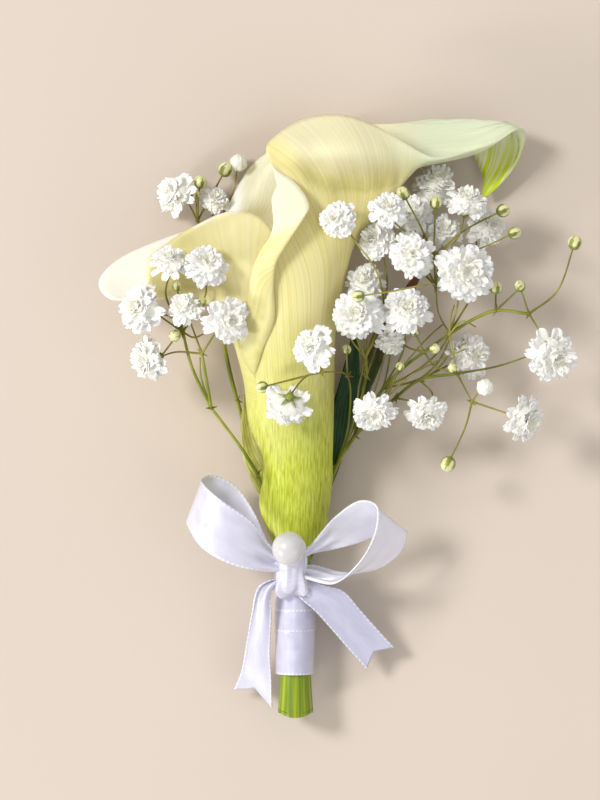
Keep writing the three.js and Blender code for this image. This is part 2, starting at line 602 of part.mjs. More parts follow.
function budGeometry(place, across) {
  const bud = new THREE.SphereGeometry(across / 2, BUD_SIDES, 3);
  return bud.rotateX(0.5).translate(...place);
}

function sprayGeometry({ trunks, blooms, links, buds }) {
  const twig = (route, radius) => stemGeometry(route.map(routePoint), radius);
  const trunk = (points) => stemGeometry(points, TRUNK_RADIUS, TRUNK_RADIUS, 5, points.length * 2);
  return fuse([
    ...trunks.map((route) => trunk(route.map(routePoint))),
    ...links.map((route) => twig(route, TWIG_RADIUS)),
    ...blooms.map((route) => twig(route, TWIG_RADIUS)),
    ...blooms.map((route) => cupGeometry(BLOOMS[route.at(-1)])),
    ...buds.map((route) => twig(route.slice(0, -1), TWIG_RADIUS)),
    ...buds.map((route) => budGeometry(route.at(-2), route.at(-1))),
  ]);
}

function addSprays() {
  for (const [name, spray] of Object.entries(SPRAYS)) {
    addPiece(name, sprayGeometry(spray), material(0x7f8a35, 0.6));
  }
}

// Ribbon wound round the stems, flat underneath where it rests
function addRibbonWrap() {
  const outer = (y, extra) => [WRAP_HALF_WIDTH + extra, y];
  const inner = WRAP_HALF_WIDTH - WRAP_WALL;
  const profile = [
    outer(WRAP_BOTTOM_Y, 0), outer(-60, 0.1), outer(-59.9, -0.2), outer(-54, 0.15), outer(-53.9, -0.15),
    outer(WRAP_TOP_Y, 0), [inner, WRAP_TOP_Y], [inner, WRAP_BOTTOM_Y], outer(WRAP_BOTTOM_Y, 0),
  ];
  const tube = new THREE.LatheGeometry(profile.map(([radius, y]) => new THREE.Vector2(radius, y)), 28);
  tube.scale(1, 1, WRAP_HALF_DEPTH / WRAP_HALF_WIDTH).translate(STEM_X, 0, WRAP_CENTRE_Z);
  const under = new THREE.BoxGeometry(20, 60, 4).translate(STEM_X, (WRAP_TOP_Y + WRAP_BOTTOM_Y) / 2, -2);
  addPiece("ribbon_wrap", cut(cut(tube, under), pinTunnel()), RIBBON);
}

// The knot is a gathered band with folds along it
function addBowKnot() {
  const centre = new THREE.Vector3(-2.5, -42, 17.4);
  const levels = [[-6.4, 0.5], [-6.1, 0.85], [-3, 1.05], [0, 0.92], [3, 1.0], [4.6, 0.85], [4.9, 0.5]];
  const rings = levels.map(([along, size]) => Array.from({ length: 18 }, (_, side) => {
    const angle = (side / 18) * 2 * Math.PI;
    const fold = 1 + 0.07 * Math.cos(5 * angle + along * 0.2);
    return new THREE.Vector3(3.9 * size * fold * Math.cos(angle), along, 2.7 * size * fold * Math.sin(angle))
      .add(centre);
  }));
  const start = centre.clone().add(new THREE.Vector3(0, -6.4, 0));
  const end = centre.clone().add(new THREE.Vector3(0, 4.9, 0));
  addPiece("bow_knot", cut(ringedGeometry(rings, start, end), pinTunnel()), RIBBON);
}

// Ribbon pieces: pairs of points on the two edges, from the knot along the ribbon
const RIBBONS = {
  bow_loop_left: [
    [[-7.2, -36.6, 19.4], [-7.2, -43, 19.2]],
    [[-12.5, -30, 21.6], [-12.5, -42.3, 22.4]],
    [[-18.8, -25.6, 22.4], [-18.8, -40.4, 23.4]],
    [[-23.4, -21.8, 20], [-25, -36.4, 21.4]],
    [[-24.6, -19.8, 15.6], [-28.5, -30.4, 16.4]],
    [[-21.8, -18.9, 11.8], [-26.6, -32, 11.2]],
    [[-16.4, -21.4, 9.8], [-20, -36, 8.8]],
    [[-12.6, -26.4, 10], [-13, -38.6, 9.6]],
    [[-8.6, -34.4, 13], [-8.8, -41, 13.4]],
    [[-7.2, -37.8, 16.2], [-7.2, -42.2, 16.2]],
  ],
  bow_loop_right: [
    [[2.2, -36.6, 20.2], [2.4, -38.6, 16.2]],
    [[8.7, -29.2, 23.2], [8.4, -37.4, 16.2]],
    [[15.2, -25, 25], [14, -36, 17]],
    [[18.9, -26.2, 25.8], [21.6, -33.4, 17.4]],
    [[19.2, -30.4, 25.6], [26.6, -32.6, 17.6]],
    [[17.6, -35.8, 24.8], [25.4, -37.8, 17.4]],
    [[14.4, -41, 23.4], [19.6, -42.2, 16.8]],
    [[8.4, -46, 20.8], [11.2, -43.3, 16.4]],
    [[2.4, -45, 18.4], [3, -41.4, 15.6]],
  ],
  bow_tail_left: [
    [[-10, -46.6, 16.4], [-6.9, -47.6, 16.6]],
    [[-12.2, -54.2, 13.4], [-7.3, -55.4, 13.6]],
    [[-13.7, -62.5, 9.6], [-7.6, -64.2, 10]],
    [[-14.8, -68.4, 7], [-7.2, -71, 7.4]],
    [[-16.7, -73.2, 5.4], [-7, -78, 5.6]],
  ],
  bow_tail_right: [
    [[-0.4, -49, 15.2], [5.6, -46.4, 14.9]],
    [[3.4, -52.6, 14.9], [10.6, -47.8, 14]],
    [[8, -57.8, 12.4], [15, -52.6, 11.6]],
    [[12.4, -63, 9.6], [19.2, -57.4, 9]],
    [[16.8, -68, 7], [23.8, -62.5, 6.4]],
  ],
};
const NOTCHES = {
  bow_tail_left: { tips: [[-17.6, -76.4], [-6, -80.4]], point: [-12.4, -72.4] },
  bow_tail_right: { tips: [[17.6, -71.6], [26.4, -64.4]], point: [18.8, -63.8] },
};

function ribbonGeometry(stations) {
  const near = curveThrough(stations.map(([point]) => point));
  const far = curveThrough(stations.map(([, point]) => point));
  const steps = (stations.length - 1) * 2;
  const grid = Array.from({ length: steps + 1 }, (_, step) => {
    const start = near.getPoint(step / steps);
    const end = far.getPoint(step / steps);
    return [0, 1 / 3, 2 / 3, 1].map((share) => start.clone().lerp(end, share));
  });
  return sheetGeometry(grid, RIBBON_THICKNESS);
}

// A tail's end is cut to a swallow's tail
function notchTool({ tips, point }) {
  const outline = new THREE.Shape([...tips, point].map(([x, y]) => new THREE.Vector2(x, y)));
  return new THREE.ExtrudeGeometry(outline, { depth: 30, bevelEnabled: false });
}

function addBow() {
  for (const [name, stations] of Object.entries(RIBBONS)) {
    const ribbon = ribbonGeometry(stations);
    addPiece(name, name in NOTCHES ? cut(ribbon, notchTool(NOTCHES[name])) : ribbon, RIBBON);
  }
}

// The pin runs from the pearl down through the knot and the wrap into the stem
function pinBody(radius, length, sides, start) {
  const shaft = new THREE.CylinderGeometry(radius, radius, length, sides);
  shaft.translate(0, -start - length / 2, 0);
  shaft.rotateX(radians(PIN_SLANT));
  return shaft.translate(...PEARL_CENTRE);
}

function pinTunnel() {
  return pinBody(PIN_RADIUS + GAP + 0.05, PIN_LENGTH + 1, 10, 2.5);
}

function addPin() {
  const pearl = new THREE.SphereGeometry(PEARL_RADIUS, 18, 10).translate(...PEARL_CENTRE);
  addPiece("pearl_head", cut(pearl, pinTunnel()), material(0xf4f1ee, 0.15));
  addPiece("pin_shaft", pinBody(PIN_RADIUS, PIN_LENGTH, 8, 3), material(0xc9cbd0, 0.25, 1));
}

const RIBBON = material(0xf1eff6, 0.35);

addSpathe();
addCallaStem();
addSpadix();
addLeaves();
addBlooms();
addSprays();
addRibbonWrap();
addBowKnot();
addBow();
addPin();

// The origin is in the middle of the outline, on the surface underneath
const bounds = new THREE.Box3().setFromObject(group);
group.position.set(-(bounds.min.x + bounds.max.x) / 2, -(bounds.min.y + bounds.max.y) / 2, -bounds.min.z);

export default group;
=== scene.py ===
# A boutonniere laid on its back: calla lily, baby's breath, leaves, satin bow and pearl pin.
# Points in the tables are millimetres from the middle of the bunch, as on the solids.
import functools
import math
import random

import bpy
import numpy as np
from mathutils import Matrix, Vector


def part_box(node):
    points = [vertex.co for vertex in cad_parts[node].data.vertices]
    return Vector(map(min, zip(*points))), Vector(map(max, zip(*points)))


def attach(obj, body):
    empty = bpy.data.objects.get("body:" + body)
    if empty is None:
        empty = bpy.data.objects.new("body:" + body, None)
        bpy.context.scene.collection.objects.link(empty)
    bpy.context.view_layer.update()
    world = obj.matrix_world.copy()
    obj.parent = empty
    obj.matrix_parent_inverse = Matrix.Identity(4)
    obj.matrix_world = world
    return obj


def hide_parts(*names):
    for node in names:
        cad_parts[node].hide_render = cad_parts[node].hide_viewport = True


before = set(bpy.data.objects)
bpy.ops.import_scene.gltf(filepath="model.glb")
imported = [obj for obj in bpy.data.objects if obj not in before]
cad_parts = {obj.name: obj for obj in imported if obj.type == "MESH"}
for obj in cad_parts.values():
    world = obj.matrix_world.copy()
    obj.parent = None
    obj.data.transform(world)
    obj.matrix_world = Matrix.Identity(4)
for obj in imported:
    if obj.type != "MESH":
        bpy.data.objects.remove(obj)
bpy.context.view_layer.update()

MM = 0.001
PEARL_CENTRE = (-2.75, -37.0, 25.0)
PEARL_RADIUS = 4.25
SHIFT = np.mean(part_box("pearl_head"), axis=0) - np.array(PEARL_CENTRE) * MM

PETAL_THICKNESS = 0.7
BLOOM_PETAL_THICKNESS = 0.12
LEAF_THICKNESS = 0.45
RIBBON_THICKNESS = 0.3
RIBBON_WIDTH = 0.010
STEM_X = -1.15
STEM_Z = 8.6
STEM_END_RADIUS = 4.5
STEM_CUT_Y = -80.0
STEM_TOP_Y = -34.6
WRAP_TOP_Y = -42.0
WRAP_BOTTOM_Y = -69.2
WRAP_CENTRE_Z = 6.8
WRAP_HALF_WIDTH = 5.3
WRAP_HALF_DEPTH = 7.1
TWIG_RADIUS = 0.25
TRUNK_RADIUS = 0.6
SPATHE_TIP = (46.5, 51.3, 4.0)

# How far the sheet's two ends lie apart where it laps over itself, and the angles of those ends
LAYER_STEP = 0.7
FIRST_ANGLE = -42
LAST_ANGLE = 334
TUBE_FINENESS = 5
FLARE_ROWS = 44

# A bloom below this width is a half-open one, and its parts are smaller
SMALL_BLOOM = 6
SMALL_SIZE = 0.6
BLOOM_UNDERSIDE = 0.4
GAP = 0.3
CUP_LENGTH = 1.7
CUP_RADIUS = 1.15

# The tube from its foot upwards: height, centre across, centre in depth, half-width, half-depth
TUBE_LEVELS = [
    [-37, -1.15, 8.8, 5.35, 5.35],
    [-34.6, -1.3, 9.1, 6.3, 5.6],
    [-31, -1.4, 9.7, 7.7, 6.2],
    [-26, -1.7, 10.4, 8.7, 7.5],
    [-20, -0.95, 11, 8.6, 8.2],
    [-14, -0.9, 11.8, 8.6, 9],
    [-6, -2.5, 13.2, 10.4, 10.1],
    [4, -3, 14.3, 11.1, 11.1],
]

# Each column of the flower's sheet: its angle round the tube, then its points above the tube
SPATHE_COLUMNS = [
    [-42, [-9.8, 11, 28.4], [-6.4, 20, 31.6], [-6.6, 29, 33.6]],
    [-38, [-15.2, 13, 26.2], [-12.8, 24, 30.8], [-10.8, 31, 34.2], [-5.8, 34, 35.6]],
    [-30, [-9.2, 14, 28.9], [-9.4, 25, 31], [-9.8, 36.2, 33.8], [-3.4, 38.3, 36]],
    [-15, [-6, 14, 29.5], [-6.3, 27, 31.5], [-7.2, 40.2, 33.6], [0.8, 44.8, 35.6]],
    [5, [-2.8, 14.5, 29.9], [-3.6, 29, 32], [-5.8, 45, 32.4], [2.2, 48.5, 34]],
    [25, [1, 15, 29], [0, 31, 31.6], [-6.6, 50.5, 29.4], [-1.2, 54, 30]],
    [42, [4, 15.5, 27], [4.2, 34, 30.2], [-5.6, 54.5, 27.2], [-6.6, 58, 25.2]],
    [55, [6, 16, 24.6], [7, 36, 28.6], [0, 55, 27], [-8.5, 62.7, 21]],
    [66, [7.3, 16.5, 22], [9, 36, 26.6], [7.4, 46, 28.6], [4.6, 55.6, 24], [0, 62, 24.6], [-5.7, 66.5, 19]],
    [76, [8.2, 17, 19.8], [10.8, 36, 24.4], [11.6, 44.5, 27.4], [11, 53.5, 21.6], [8, 62, 25],
        [1, 70.5, 17]],
    [86, [8.6, 17, 17.5], [12.4, 37, 22], [15, 45, 25.4], [16.6, 53.5, 19.8], [14.8, 62.5, 24.4],
        [9.8, 71.5, 18]],
    [97, [8.5, 17, 15], [13, 38, 19], [17.6, 46, 23], [20.8, 54, 17.8], [20.6, 62, 22], [17.5, 69.3, 18.5]],
    [110, [7.8, 17, 12], [13, 38.5, 15.8], [20, 48, 18.8], [24.2, 55, 16.4], [25.2, 61, 19.6],
        [23.5, 66, 19.5]],
    [124, [6, 17, 8.8], [12.5, 39, 12.5], [26.6, 55.6, 16.4], [30.3, 61.8, 20.6]],
    [138, [3.6, 17, 6.3], [11.5, 40, 9.5], [26.5, 57, 12.6], [35, 60.4, 21]],
    [152, [0.5, 17, 4.5], [10, 41, 7], [26, 58, 9], [38.6, 60.6, 13.4], [41.5, 62, 20]],
    [164, [-2, 17.5, 3.8], [8, 42, 5.5], [24, 60, 6.5], [44.4, 62.4, 11], [48.8, 64.5, 17.5]],
    [168, [-2.6, 17.8, 3.6], [7.5, 42.5, 5], [22.5, 61.3, 5.6], [44, 64.4, 9.8], [55.2, 68.4, 13.6]],
    [172, [-3.2, 18, 3.4], [7, 43, 4.6], [21, 62.5, 4.8], [44, 66.5, 8.6], [54.2, 68.9, 11.6],
        [56.8, 65.5, 9.5]],
    [176, [-3.9, 18, 3.35], [6.2, 43.5, 4.3], [19.5, 63.3, 4.3], [42, 67.6, 7.8], [53.8, 69.3, 10.4],
        [55.8, 63.5, 7.4], [53.2, 57.4, 5.6]],
    [180, [-4.6, 18, 3.3], [5.5, 44, 4], [18, 64, 3.8], [40, 68.6, 7], [53, 69.5, 9.4], [51.6, 60, 3.6],
        [46.5, 51.3, 4]],
    [188, [-6, 18, 3.4], [3.5, 45, 3.6], [14, 66, 3.2], [36, 69.8, 5.6], [46, 70.2, 7.6],
        [48.2, 63.4, 2.8], [46.2, 56.8, 2.4]],
    [197, [-7.6, 18, 3.8], [1, 46, 3.4], [10, 67, 2.6], [29, 69.9, 3.8], [38.6, 70.4, 4.4], [42, 65, 1.6]],
    [207, [-9.2, 18, 4.6], [-2, 47, 3.6], [6, 67, 2.2], [24, 69.6, 2.4], [34, 69.4, 0.7]],
    [218, [-11, 18, 5.8], [-6, 48, 4], [2, 66, 1.8], [17, 68.6, 1.6], [23, 67, 0.8]],
    [230, [-13, 18, 7.7], [-10, 47, 5], [-4, 63, 2], [10, 66.4, 1]],
    [242, [-14.8, 18, 9.8], [-13.5, 45, 6.5], [-9.6, 58, 2.2], [-2, 66, 0.9]],
    [254, [-16.2, 18.5, 12.3], [-17, 42, 9], [-14.5, 54, 3], [-10.8, 61, 0.6]],
    [262, [-17, 18.5, 13.8], [-19, 38, 11], [-18, 48, 5], [-15, 55.4, 0.6]],
    [268, [-17.4, 18.5, 15], [-21.5, 36, 13], [-20.5, 43.6, 8.2], [-18, 48.5, 3.5]],
    [273, [-17.7, 18.5, 16], [-24, 34.5, 14.5], [-25.4, 39.4, 12], [-24.6, 44, 9]],
    [279, [-18, 18.5, 17.2], [-26.5, 32.5, 15.5], [-32.4, 36.6, 13.5], [-32.3, 41.5, 10]],
    [285, [-18, 18.5, 18.6], [-28.8, 30.8, 16.6], [-38.6, 32.4, 14.6], [-44.8, 36, 12.8]],
    [291, [-17.8, 18.5, 19.8], [-29, 28.5, 17.5], [-40, 28, 15.6], [-50.5, 29.8, 16]],
    [297, [-17.3, 18.5, 21.2], [-27.6, 26.8, 19], [-37.6, 25.4, 16.8], [-47.2, 25.2, 18.6]],
    [303, [-16.8, 18.5, 22.4], [-26, 27, 21], [-34.5, 26, 20], [-40, 27.4, 22.4]],
    [308, [-16.2, 18.5, 23.4], [-24.5, 28, 22.8], [-31.8, 29.6, 23.2], [-36.8, 34.8, 24.4]],
    [313, [-15.4, 18.5, 24.3], [-22.6, 29.6, 24.4], [-28, 33.5, 25.2], [-31.5, 40.2, 25.4]],
    [318, [-14.4, 18.5, 25], [-19.6, 30.6, 25.8], [-23.2, 37, 26.6], [-25.2, 43.8, 26.2]],
    [323, [-13, 18.5, 25.6], [-16, 31, 27], [-17.4, 39, 28], [-18.8, 46.6, 26.8]],
    [328, [-11.6, 18.5, 26], [-12.6, 31, 27.8], [-12.8, 39, 29], [-12.6, 46.6, 27.6]],
    [331, [-10.2, 18.5, 26.2], [-9.6, 31, 28.2], [-9, 37.4, 29.4], [-7.6, 43, 29]],
    [334, [-8.8, 18.5, 26.3], [-6.6, 29, 28], [-4, 36, 28.8]],
]

# Each leaf: the depth of its crease, then points on its middle line, each with the half-width there
LEAVES = {
    "leaf_dark": [0.25, [
        [0.6, -66, 2.3, 0.4], [0.7, -52, 2.3, 0.4], [0.9, -42.6, 2.4, 0.4], [3, -33, 2.2, 0.7],
        [6.2, -21, 2.6, 1.8], [9.2, -9, 3.4, 3.1], [12, 2, 4.6, 3.1], [13.4, 11, 5.4, 2.1],
        [14, 18.5, 6, 0.5],
    ]],
    "leaf_olive": [0.4, [
        [-1.9, -66, 2.3, 0.4], [-1.95, -52, 2.3, 0.4], [-1.9, -42.6, 2.4, 0.4], [-3.6, -37, 2.6, 0.5],
        [-6.6, -27, 2.8, 0.9], [-9.8, -18.4, 4, 2], [-11.8, -12.8, 4.4, 3], [-12.9, -7, 4.3, 3.1],
        [-13.5, -2.2, 4.6, 2], [-13.9, 1.4, 5, 0.4],
    ]],
    "leaf_russet": [0.4, [
        [-0.65, -66, 2.2, 0.4], [-0.6, -52, 2.2, 0.4], [-0.4, -42.6, 2, 0.4], [1.4, -36.6, 1.3, 0.6],
        [5.8, -24, 1.1, 1.1], [12.4, -6, 1.5, 1.7], [18, 8, 3, 2], [24.4, 22, 5.4, 1.9], [30, 32, 7.4, 1.2],
        [33.4, 38.6, 8.8, 0.4],
    ]],
}

# Each bloom: its middle, its width, the way it faces, and the stops of its twig, forks by name or points
BLOOM_ROWS = {
    "right": [
        [[9.5, 44.5, 32.4], 9.5, [-0.4, 0.3, 1], "middle_fork", [20.8, 22, 23.6], [19, 32, 27],
            [14, 39, 29.4]],
        [[21.6, 47, 31.4], 9, [-0.1, 0.6, 1], "upper_star"],
        [[19, 39.3, 24.6], 10, [-0.5, 0.4, 1], "middle_fork", [21.8, 28, 18]],
        [[27.8, 35.8, 29], 11, [0, 0.1, 1], "upper_fork"],
        [[40.8, 31.8, 27.5], 14.5, [0.3, 0, 1], "right_star", [39.4, 24, 21]],
        [[41.5, 49, 22], 10.5, [0.1, 0.9, 0.6], "upper_star", [39.4, 40.6, 22]],
        [[46.5, 43.4, 14.2], 10.5, [0.8, 0.3, 0.8], "right_star", [44.5, 30, 14.5]],
        [[36.3, 42.2, 17.5], 8.5, [0, 0.5, 1], "upper_fork", [35, 35, 14]],
        [[34.2, 54.2, 7.6], 11.5, [0.2, 0.5, 0.6], "upper_fork", [30.6, 38, 10], [33.4, 48, 6]],
        [[28, 46.4, 15.6], 10.5, [-0.2, 0.5, 1], "upper_fork", [28, 36, 12]],
        [[16.2, 29.2, 20.6], 10, [-0.3, 0.6, 1], "middle_fork"],
        [[14.3, 21, 29.4], 12.5, [-0.2, 0.2, 1], "middle_fork", [14.6, 15, 20.6]],
        [[26.3, 22.3, 28], 11.5, [0.1, 0.3, 1], "right_bend", [26, 13, 19]],
        [[22.5, 14.6, 21.6], 7.5, [0.1, -0.9, 0.5], "right_bend", [22.6, 12, 17]],
        [[3.3, 12.8, 34], 10.5, [-0.6, 0.3, 1], "front_fork"],
        [[-3, -1.2, 32.4], 11, [-0.15, -0.65, -0.7], "front_fork", [1.2, 5.6, 32.2]],
        [[18.5, -2.8, 24], 10.5, [0.1, -0.6, 0.9], "right_mid"],
        [[31.5, -3, 22], 9.5, [0.2, -0.7, 0.8], "lower_bend"],
        [[42.6, 11, 14], 11, [0.6, 0.2, 0.8], "lower_fork"],
        [[62.6, 11, 24], 13, [0.5, -0.4, 0.9], "lower_star", [50, 8.6, 19]],
        [[55.6, -4.6, 23], 11, [0.9, -0.3, 0.7], "lower_outer"],
        [[46, 3.2, 25.6], 4.4, [0.2, -0.3, 1], "lower_outer"],
    ],
    "left": [
        [[-39.2, 23, 28], 11.5, [-0.7, 0.2, 1], "left_star"],
        [[-23.3, 33, 32], 10.5, [0.2, 0.6, 1], "left_star", [-23.4, 26.6, 26.4]],
        [[-32.3, 34.2, 31], 9, [-0.1, 0.8, 0.8], "left_star", [-33.4, 26.4, 26]],
        [[-18, 19.6, 32], 11.5, [0.4, 0.1, 1], "left_fork"],
        [[-37.5, 10.3, 22], 10.5, [-0.9, -0.2, 0.6], "left_fork", [-31, 12, 20]],
        [[-28.4, 22.6, 28.4], 8.5, [-0.2, 0.6, 0.9], "left_fork"],
    ],
    "top": [
        [[-31.2, 51.8, 7.6], 10.5, [-0.8, 0.3, 0.7], "top_fork"],
        [[-15.6, 60, 4], 4.6, [0.2, 0.9, 0.4], "top_bend", [-20, 46, 2.2], [-16.6, 54, 2]],
        [[-21.6, 50.4, 5.6], 7, [0.2, 0.6, 0.8], "top_bend"],
    ],
}

FORKS = {
    "right_foot": [1.45, -66, 3.6], "right_neck": [1.5, -43, 3.7], "right_low": [9.2, -16.8, 7.4],
    "right_mid": [13.8, -9, 10.4], "right_inner": [16.6, 6, 12], "right_bend": [21, 3, 13.5],
    "right_fork": [31, 12, 19.5], "right_star": [37.3, 16.5, 21.4], "right_outer": [48.8, 22.3, 22.4],
    "right_far": [57.1, 21.5, 22.6], "lower_bend": [24, 0.5, 11.5], "lower_fork": [30, 5, 13],
    "lower_star": [39.3, 6.6, 18.4], "lower_outer": [43, -0.4, 19.6], "upper_fork": [34, 28.4, 18.6],
    "upper_star": [33.4, 36, 21], "inner_fork": [11.8, 6, 20.6], "front_fork": [5.4, 7, 27.4],
    "middle_fork": [16.4, 10.6, 17.6], "left_foot": [-3.75, -66, 3.6], "left_neck": [-4, -42.8, 3.8],
    "left_low": [-10.8, -18.6, 7.2], "left_bend": [-22.3, -2, 14], "left_star": [-29.3, 17, 20.4],
    "left_fork": [-24.5, 11.6, 20.6], "top_foot": [-3.15, -66, 2.5], "top_neck": [-3.05, -43.4, 2.7],
    "top_low": [-16, 0, 2.6], "top_bend": [-22.4, 36, 2.8], "top_fork": [-26, 45.4, 3.6],
}

# Stalks of each spray, from stop to stop. A bud's row ends with its width. The solids have no fine ones.
SPRAYS = {
    "right": {
        "trunks": [
            ["right_foot", [1.5, -52, 3.7], "right_neck", [4, -36.4, 3.4], [5.9, -28.4, 3.6],
                "right_low", "right_mid"],
            ["right_mid", "right_bend", [26.3, 8.4, 17], "right_fork", "right_star"],
            ["right_star", [43.4, 20.2, 22], "right_outer", "right_far"],
            ["right_mid", "lower_bend", "lower_fork", "lower_star"],
            ["right_mid", [15, -2, 11], "right_inner", "middle_fork"],
        ],
        "links": [
            ["right_star", [34.6, 22, 19.6], "upper_fork"],
            ["upper_fork", "upper_star"],
            ["lower_star", "lower_outer"],
            ["right_low", [12.2, -6, 14.6], "inner_fork", "front_fork"],
            ["right_star", "lower_star"],
        ],
        "buds": [
            ["right_outer", [48.8, 28, 23.4], 3.2],
            ["right_far", [54.8, 28.4, 23.4], 2.8],
            ["right_far", [64, 27, 23.4], [68.5, 39.2, 24], 3.6],
            ["upper_star", [33.8, 49.2, 22.6], 3.2],
            ["upper_star", [29.6, 44, 25.4], [25.6, 51.3, 27.2], 3.4],
            ["upper_star", [44, 37.6, 19], [53.6, 41.8, 20], 3.2],
            ["upper_star", [41.5, 42.6, 20.4], [50.8, 47.4, 19], 3.4],
            ["lower_outer", [41.4, -6.6, 19.6], [37, -16, 20.4], 3.8],
            ["front_fork", [0, 5.6, 30.6], [-9.4, 3.2, 31], 3],
            ["inner_fork", [11.6, 12.6, 22.4], 2.4],
            ["right_fork", [33.6, 12.8, 24], 2.6],
            ["right_fork", [28.6, 17, 21.6], 2.4],
            ["lower_star", [38, 8, 24], 2.4],
        ],
        "fine_links": [
            ["right_mid", [17.5, -1, 15], [20.4, 8, 18.4], [21.6, 13, 19]],
            ["right_mid", [19, -2, 14.6], [25, 7.4, 18.2], [31.8, 15.4, 20], [35.8, 19, 20]],
            ["right_mid", [18, -3.4, 16], [27, 5.6, 18.8], [34, 9.6, 19.8], [41.6, 12.8, 19.8]],
            ["right_bend", [28.4, 6.8, 15], [34.8, 12.2, 17.4], [38.6, 18.4, 19.4]],
            ["right_bend", [27.6, 4.4, 13], [34, 7.4, 15], [38.4, 12.4, 16.6], [41.8, 14.4, 17.4]],
            ["right_inner", [18.6, 11.6, 15], [20.4, 18, 17.6]],
            ["right_inner", [15.4, 12, 14], [13.6, 17.4, 17]],
            ["middle_fork", [13.6, 14, 19], [11.4, 17.8, 21.6]],
            ["middle_fork", [18.6, 14.6, 20], [21.8, 18.6, 22]],
            ["right_fork", [26.6, 13.4, 19], [22.6, 17.8, 20.4]],
            ["right_fork", [33.8, 8.4, 19], [38.6, 6.9, 18.6]],
            ["lower_fork", [33.2, 1.6, 15.6], [32.4, -1.4, 18]],
            ["lower_fork", [34.6, 9.4, 15], [37.4, 14.8, 18]],
            ["lower_bend", [21.8, -1.6, 15], [19.6, -2.2, 19]],
            ["right_low", [11.8, -10.6, 12], [14.2, -2.4, 16.6], [14.8, 3.4, 17.6], [16.2, 9.8, 17.6]],
            ["right_star", [40.6, 19.6, 24], [43.8, 18.2, 24.4]],
            ["right_star", [37.6, 20.8, 24], [38.4, 23.6, 25.4]],
            ["right_far", [59, 18.4, 22.8], [61.2, 14.6, 22.6]],
        ],
        "fine_buds": [
            ["upper_fork", [31.6, 28.6, 33.4], [22.6, 26.8, 36.6], [14.4, 25.6, 36.4], 3],
            ["right_mid", [22, 1.6, 17], [25, 8.4, 19.6], 2.2],
            ["right_outer", [52.2, 25.4, 23.6], [55, 28.2, 24.4], 2],
        ],
    },
    "left": {
        "trunks": [
            ["left_foot", [-3.8, -52, 3.6], "left_neck", [-6, -36.4, 3.6], [-7.8, -28.4, 3.5], "left_low"],
            ["left_low", [-14.6, -12.4, 10.6], "left_bend"],
            ["left_bend", [-27, 8, 17.6], "left_star"],
            ["left_bend", "left_fork"],
        ],
        "links": [
            ["left_star", [-31, 15.6, 21], "bloom_left_05"],
        ],
        "buds": [
            ["left_star", [-31.2, 16, 24.6], 3],
            ["left_star", [-30.6, 28.4, 26], 2.6],
        ],
        "fine_links": [
            ["left_star", [-26.4, 15.6, 23], [-22, 17.6, 27]],
            ["left_star", [-32, 20.6, 22.6], [-34.6, 21.4, 24.4]],
            ["left_bend", [-24.8, 5.6, 17], [-25, 10.6, 19.6]],
        ],
        "fine_buds": [
            ["left_star", [-26.6, 20.6, 24.6], [-24.4, 24.4, 27], 2.4],
        ],
    },
    "top": {
        "trunks": [
            ["top_foot", [-3.2, -52, 2.5], "top_neck", [-3.6, -40.6, 2.1], [-4.8, -36, 1.6],
                [-7.6, -26, 1.4], "top_low", [-20, 18, 2.4], "top_bend"],
            ["top_bend", "top_fork"],
        ],
        "links": [],
        "buds": [
            ["top_fork", [-25.7, 50.4, 7.6], [-25.2, 55, 9], 3.2],
            ["top_fork", [-22.4, 52, 3.2], [-18.8, 58.4, 4.6], 3.8],
            ["top_fork", [-26.4, 52, 9], 2.4],
        ],
        "fine_links": [],
        "fine_buds": [],
    },
}

# Pairs of points on the two edges of each ribbon, from the knot along it
RIBBONS = {
    "bow_loop_left": [
        [[-7.2, -36.6, 19.4], [-7.2, -43, 19.2]], [[-12.5, -30, 21.6], [-12.5, -42.3, 22.4]],
        [[-18.8, -25.6, 22.4], [-18.8, -40.4, 23.4]], [[-23.4, -21.8, 20], [-25, -36.4, 21.4]],
        [[-24.6, -19.8, 15.6], [-28.5, -30.4, 16.4]], [[-21.8, -18.9, 11.8], [-26.6, -32, 11.2]],
        [[-16.4, -21.4, 9.8], [-20, -36, 8.8]], [[-12.6, -26.4, 10], [-13, -38.6, 9.6]],
        [[-8.6, -34.4, 13], [-8.8, -41, 13.4]], [[-7.2, -37.8, 16.2], [-7.2, -42.2, 16.2]],
    ],
    "bow_loop_right": [
        [[2.2, -36.6, 20.2], [2.4, -38.6, 16.2]], [[8.7, -29.2, 23.2], [8.4, -37.4, 16.2]],
        [[15.2, -25, 25], [14, -36, 17]], [[18.9, -26.2, 25.8], [21.6, -33.4, 17.4]],
        [[19.2, -30.4, 25.6], [26.6, -32.6, 17.6]], [[17.6, -35.8, 24.8], [25.4, -37.8, 17.4]],
        [[14.4, -41, 23.4], [19.6, -42.2, 16.8]], [[8.4, -46, 20.8], [11.2, -43.3, 16.4]],
        [[2.4, -45, 18.4], [3, -41.4, 15.6]],
    ],
    "bow_tail_left": [
        [[-10, -46.6, 16.4], [-6.9, -47.6, 16.6]], [[-12.2, -54.2, 13.4], [-7.3, -55.4, 13.6]],
        [[-13.7, -62.5, 9.6], [-7.6, -64.2, 10]], [[-14.8, -68.4, 7], [-7.2, -71, 7.4]],
        [[-16.7, -73.2, 5.4], [-7, -78, 5.6]],
    ],
    "bow_tail_right": [
        [[-0.4, -49, 15.2], [5.6, -46.4, 14.9]], [[3.4, -52.6, 14.9], [10.6, -47.8, 14]],
        [[8, -57.8, 12.4], [15, -52.6, 11.6]], [[12.4, -63, 9.6], [19.2, -57.4, 9]],
        [[16.8, -68, 7], [23.8, -62.5, 6.4]],
    ],
}


# Curves and grids

CURVE_STEPS = 40
TINY = 1e-12

# A direction that no stalk runs in
ASLANT = (0.31, 0.17, 0.93)


def place(points):
    """Millimetres in the tables to metres in the shared frame."""
    return np.asarray(points, float) * MM + SHIFT


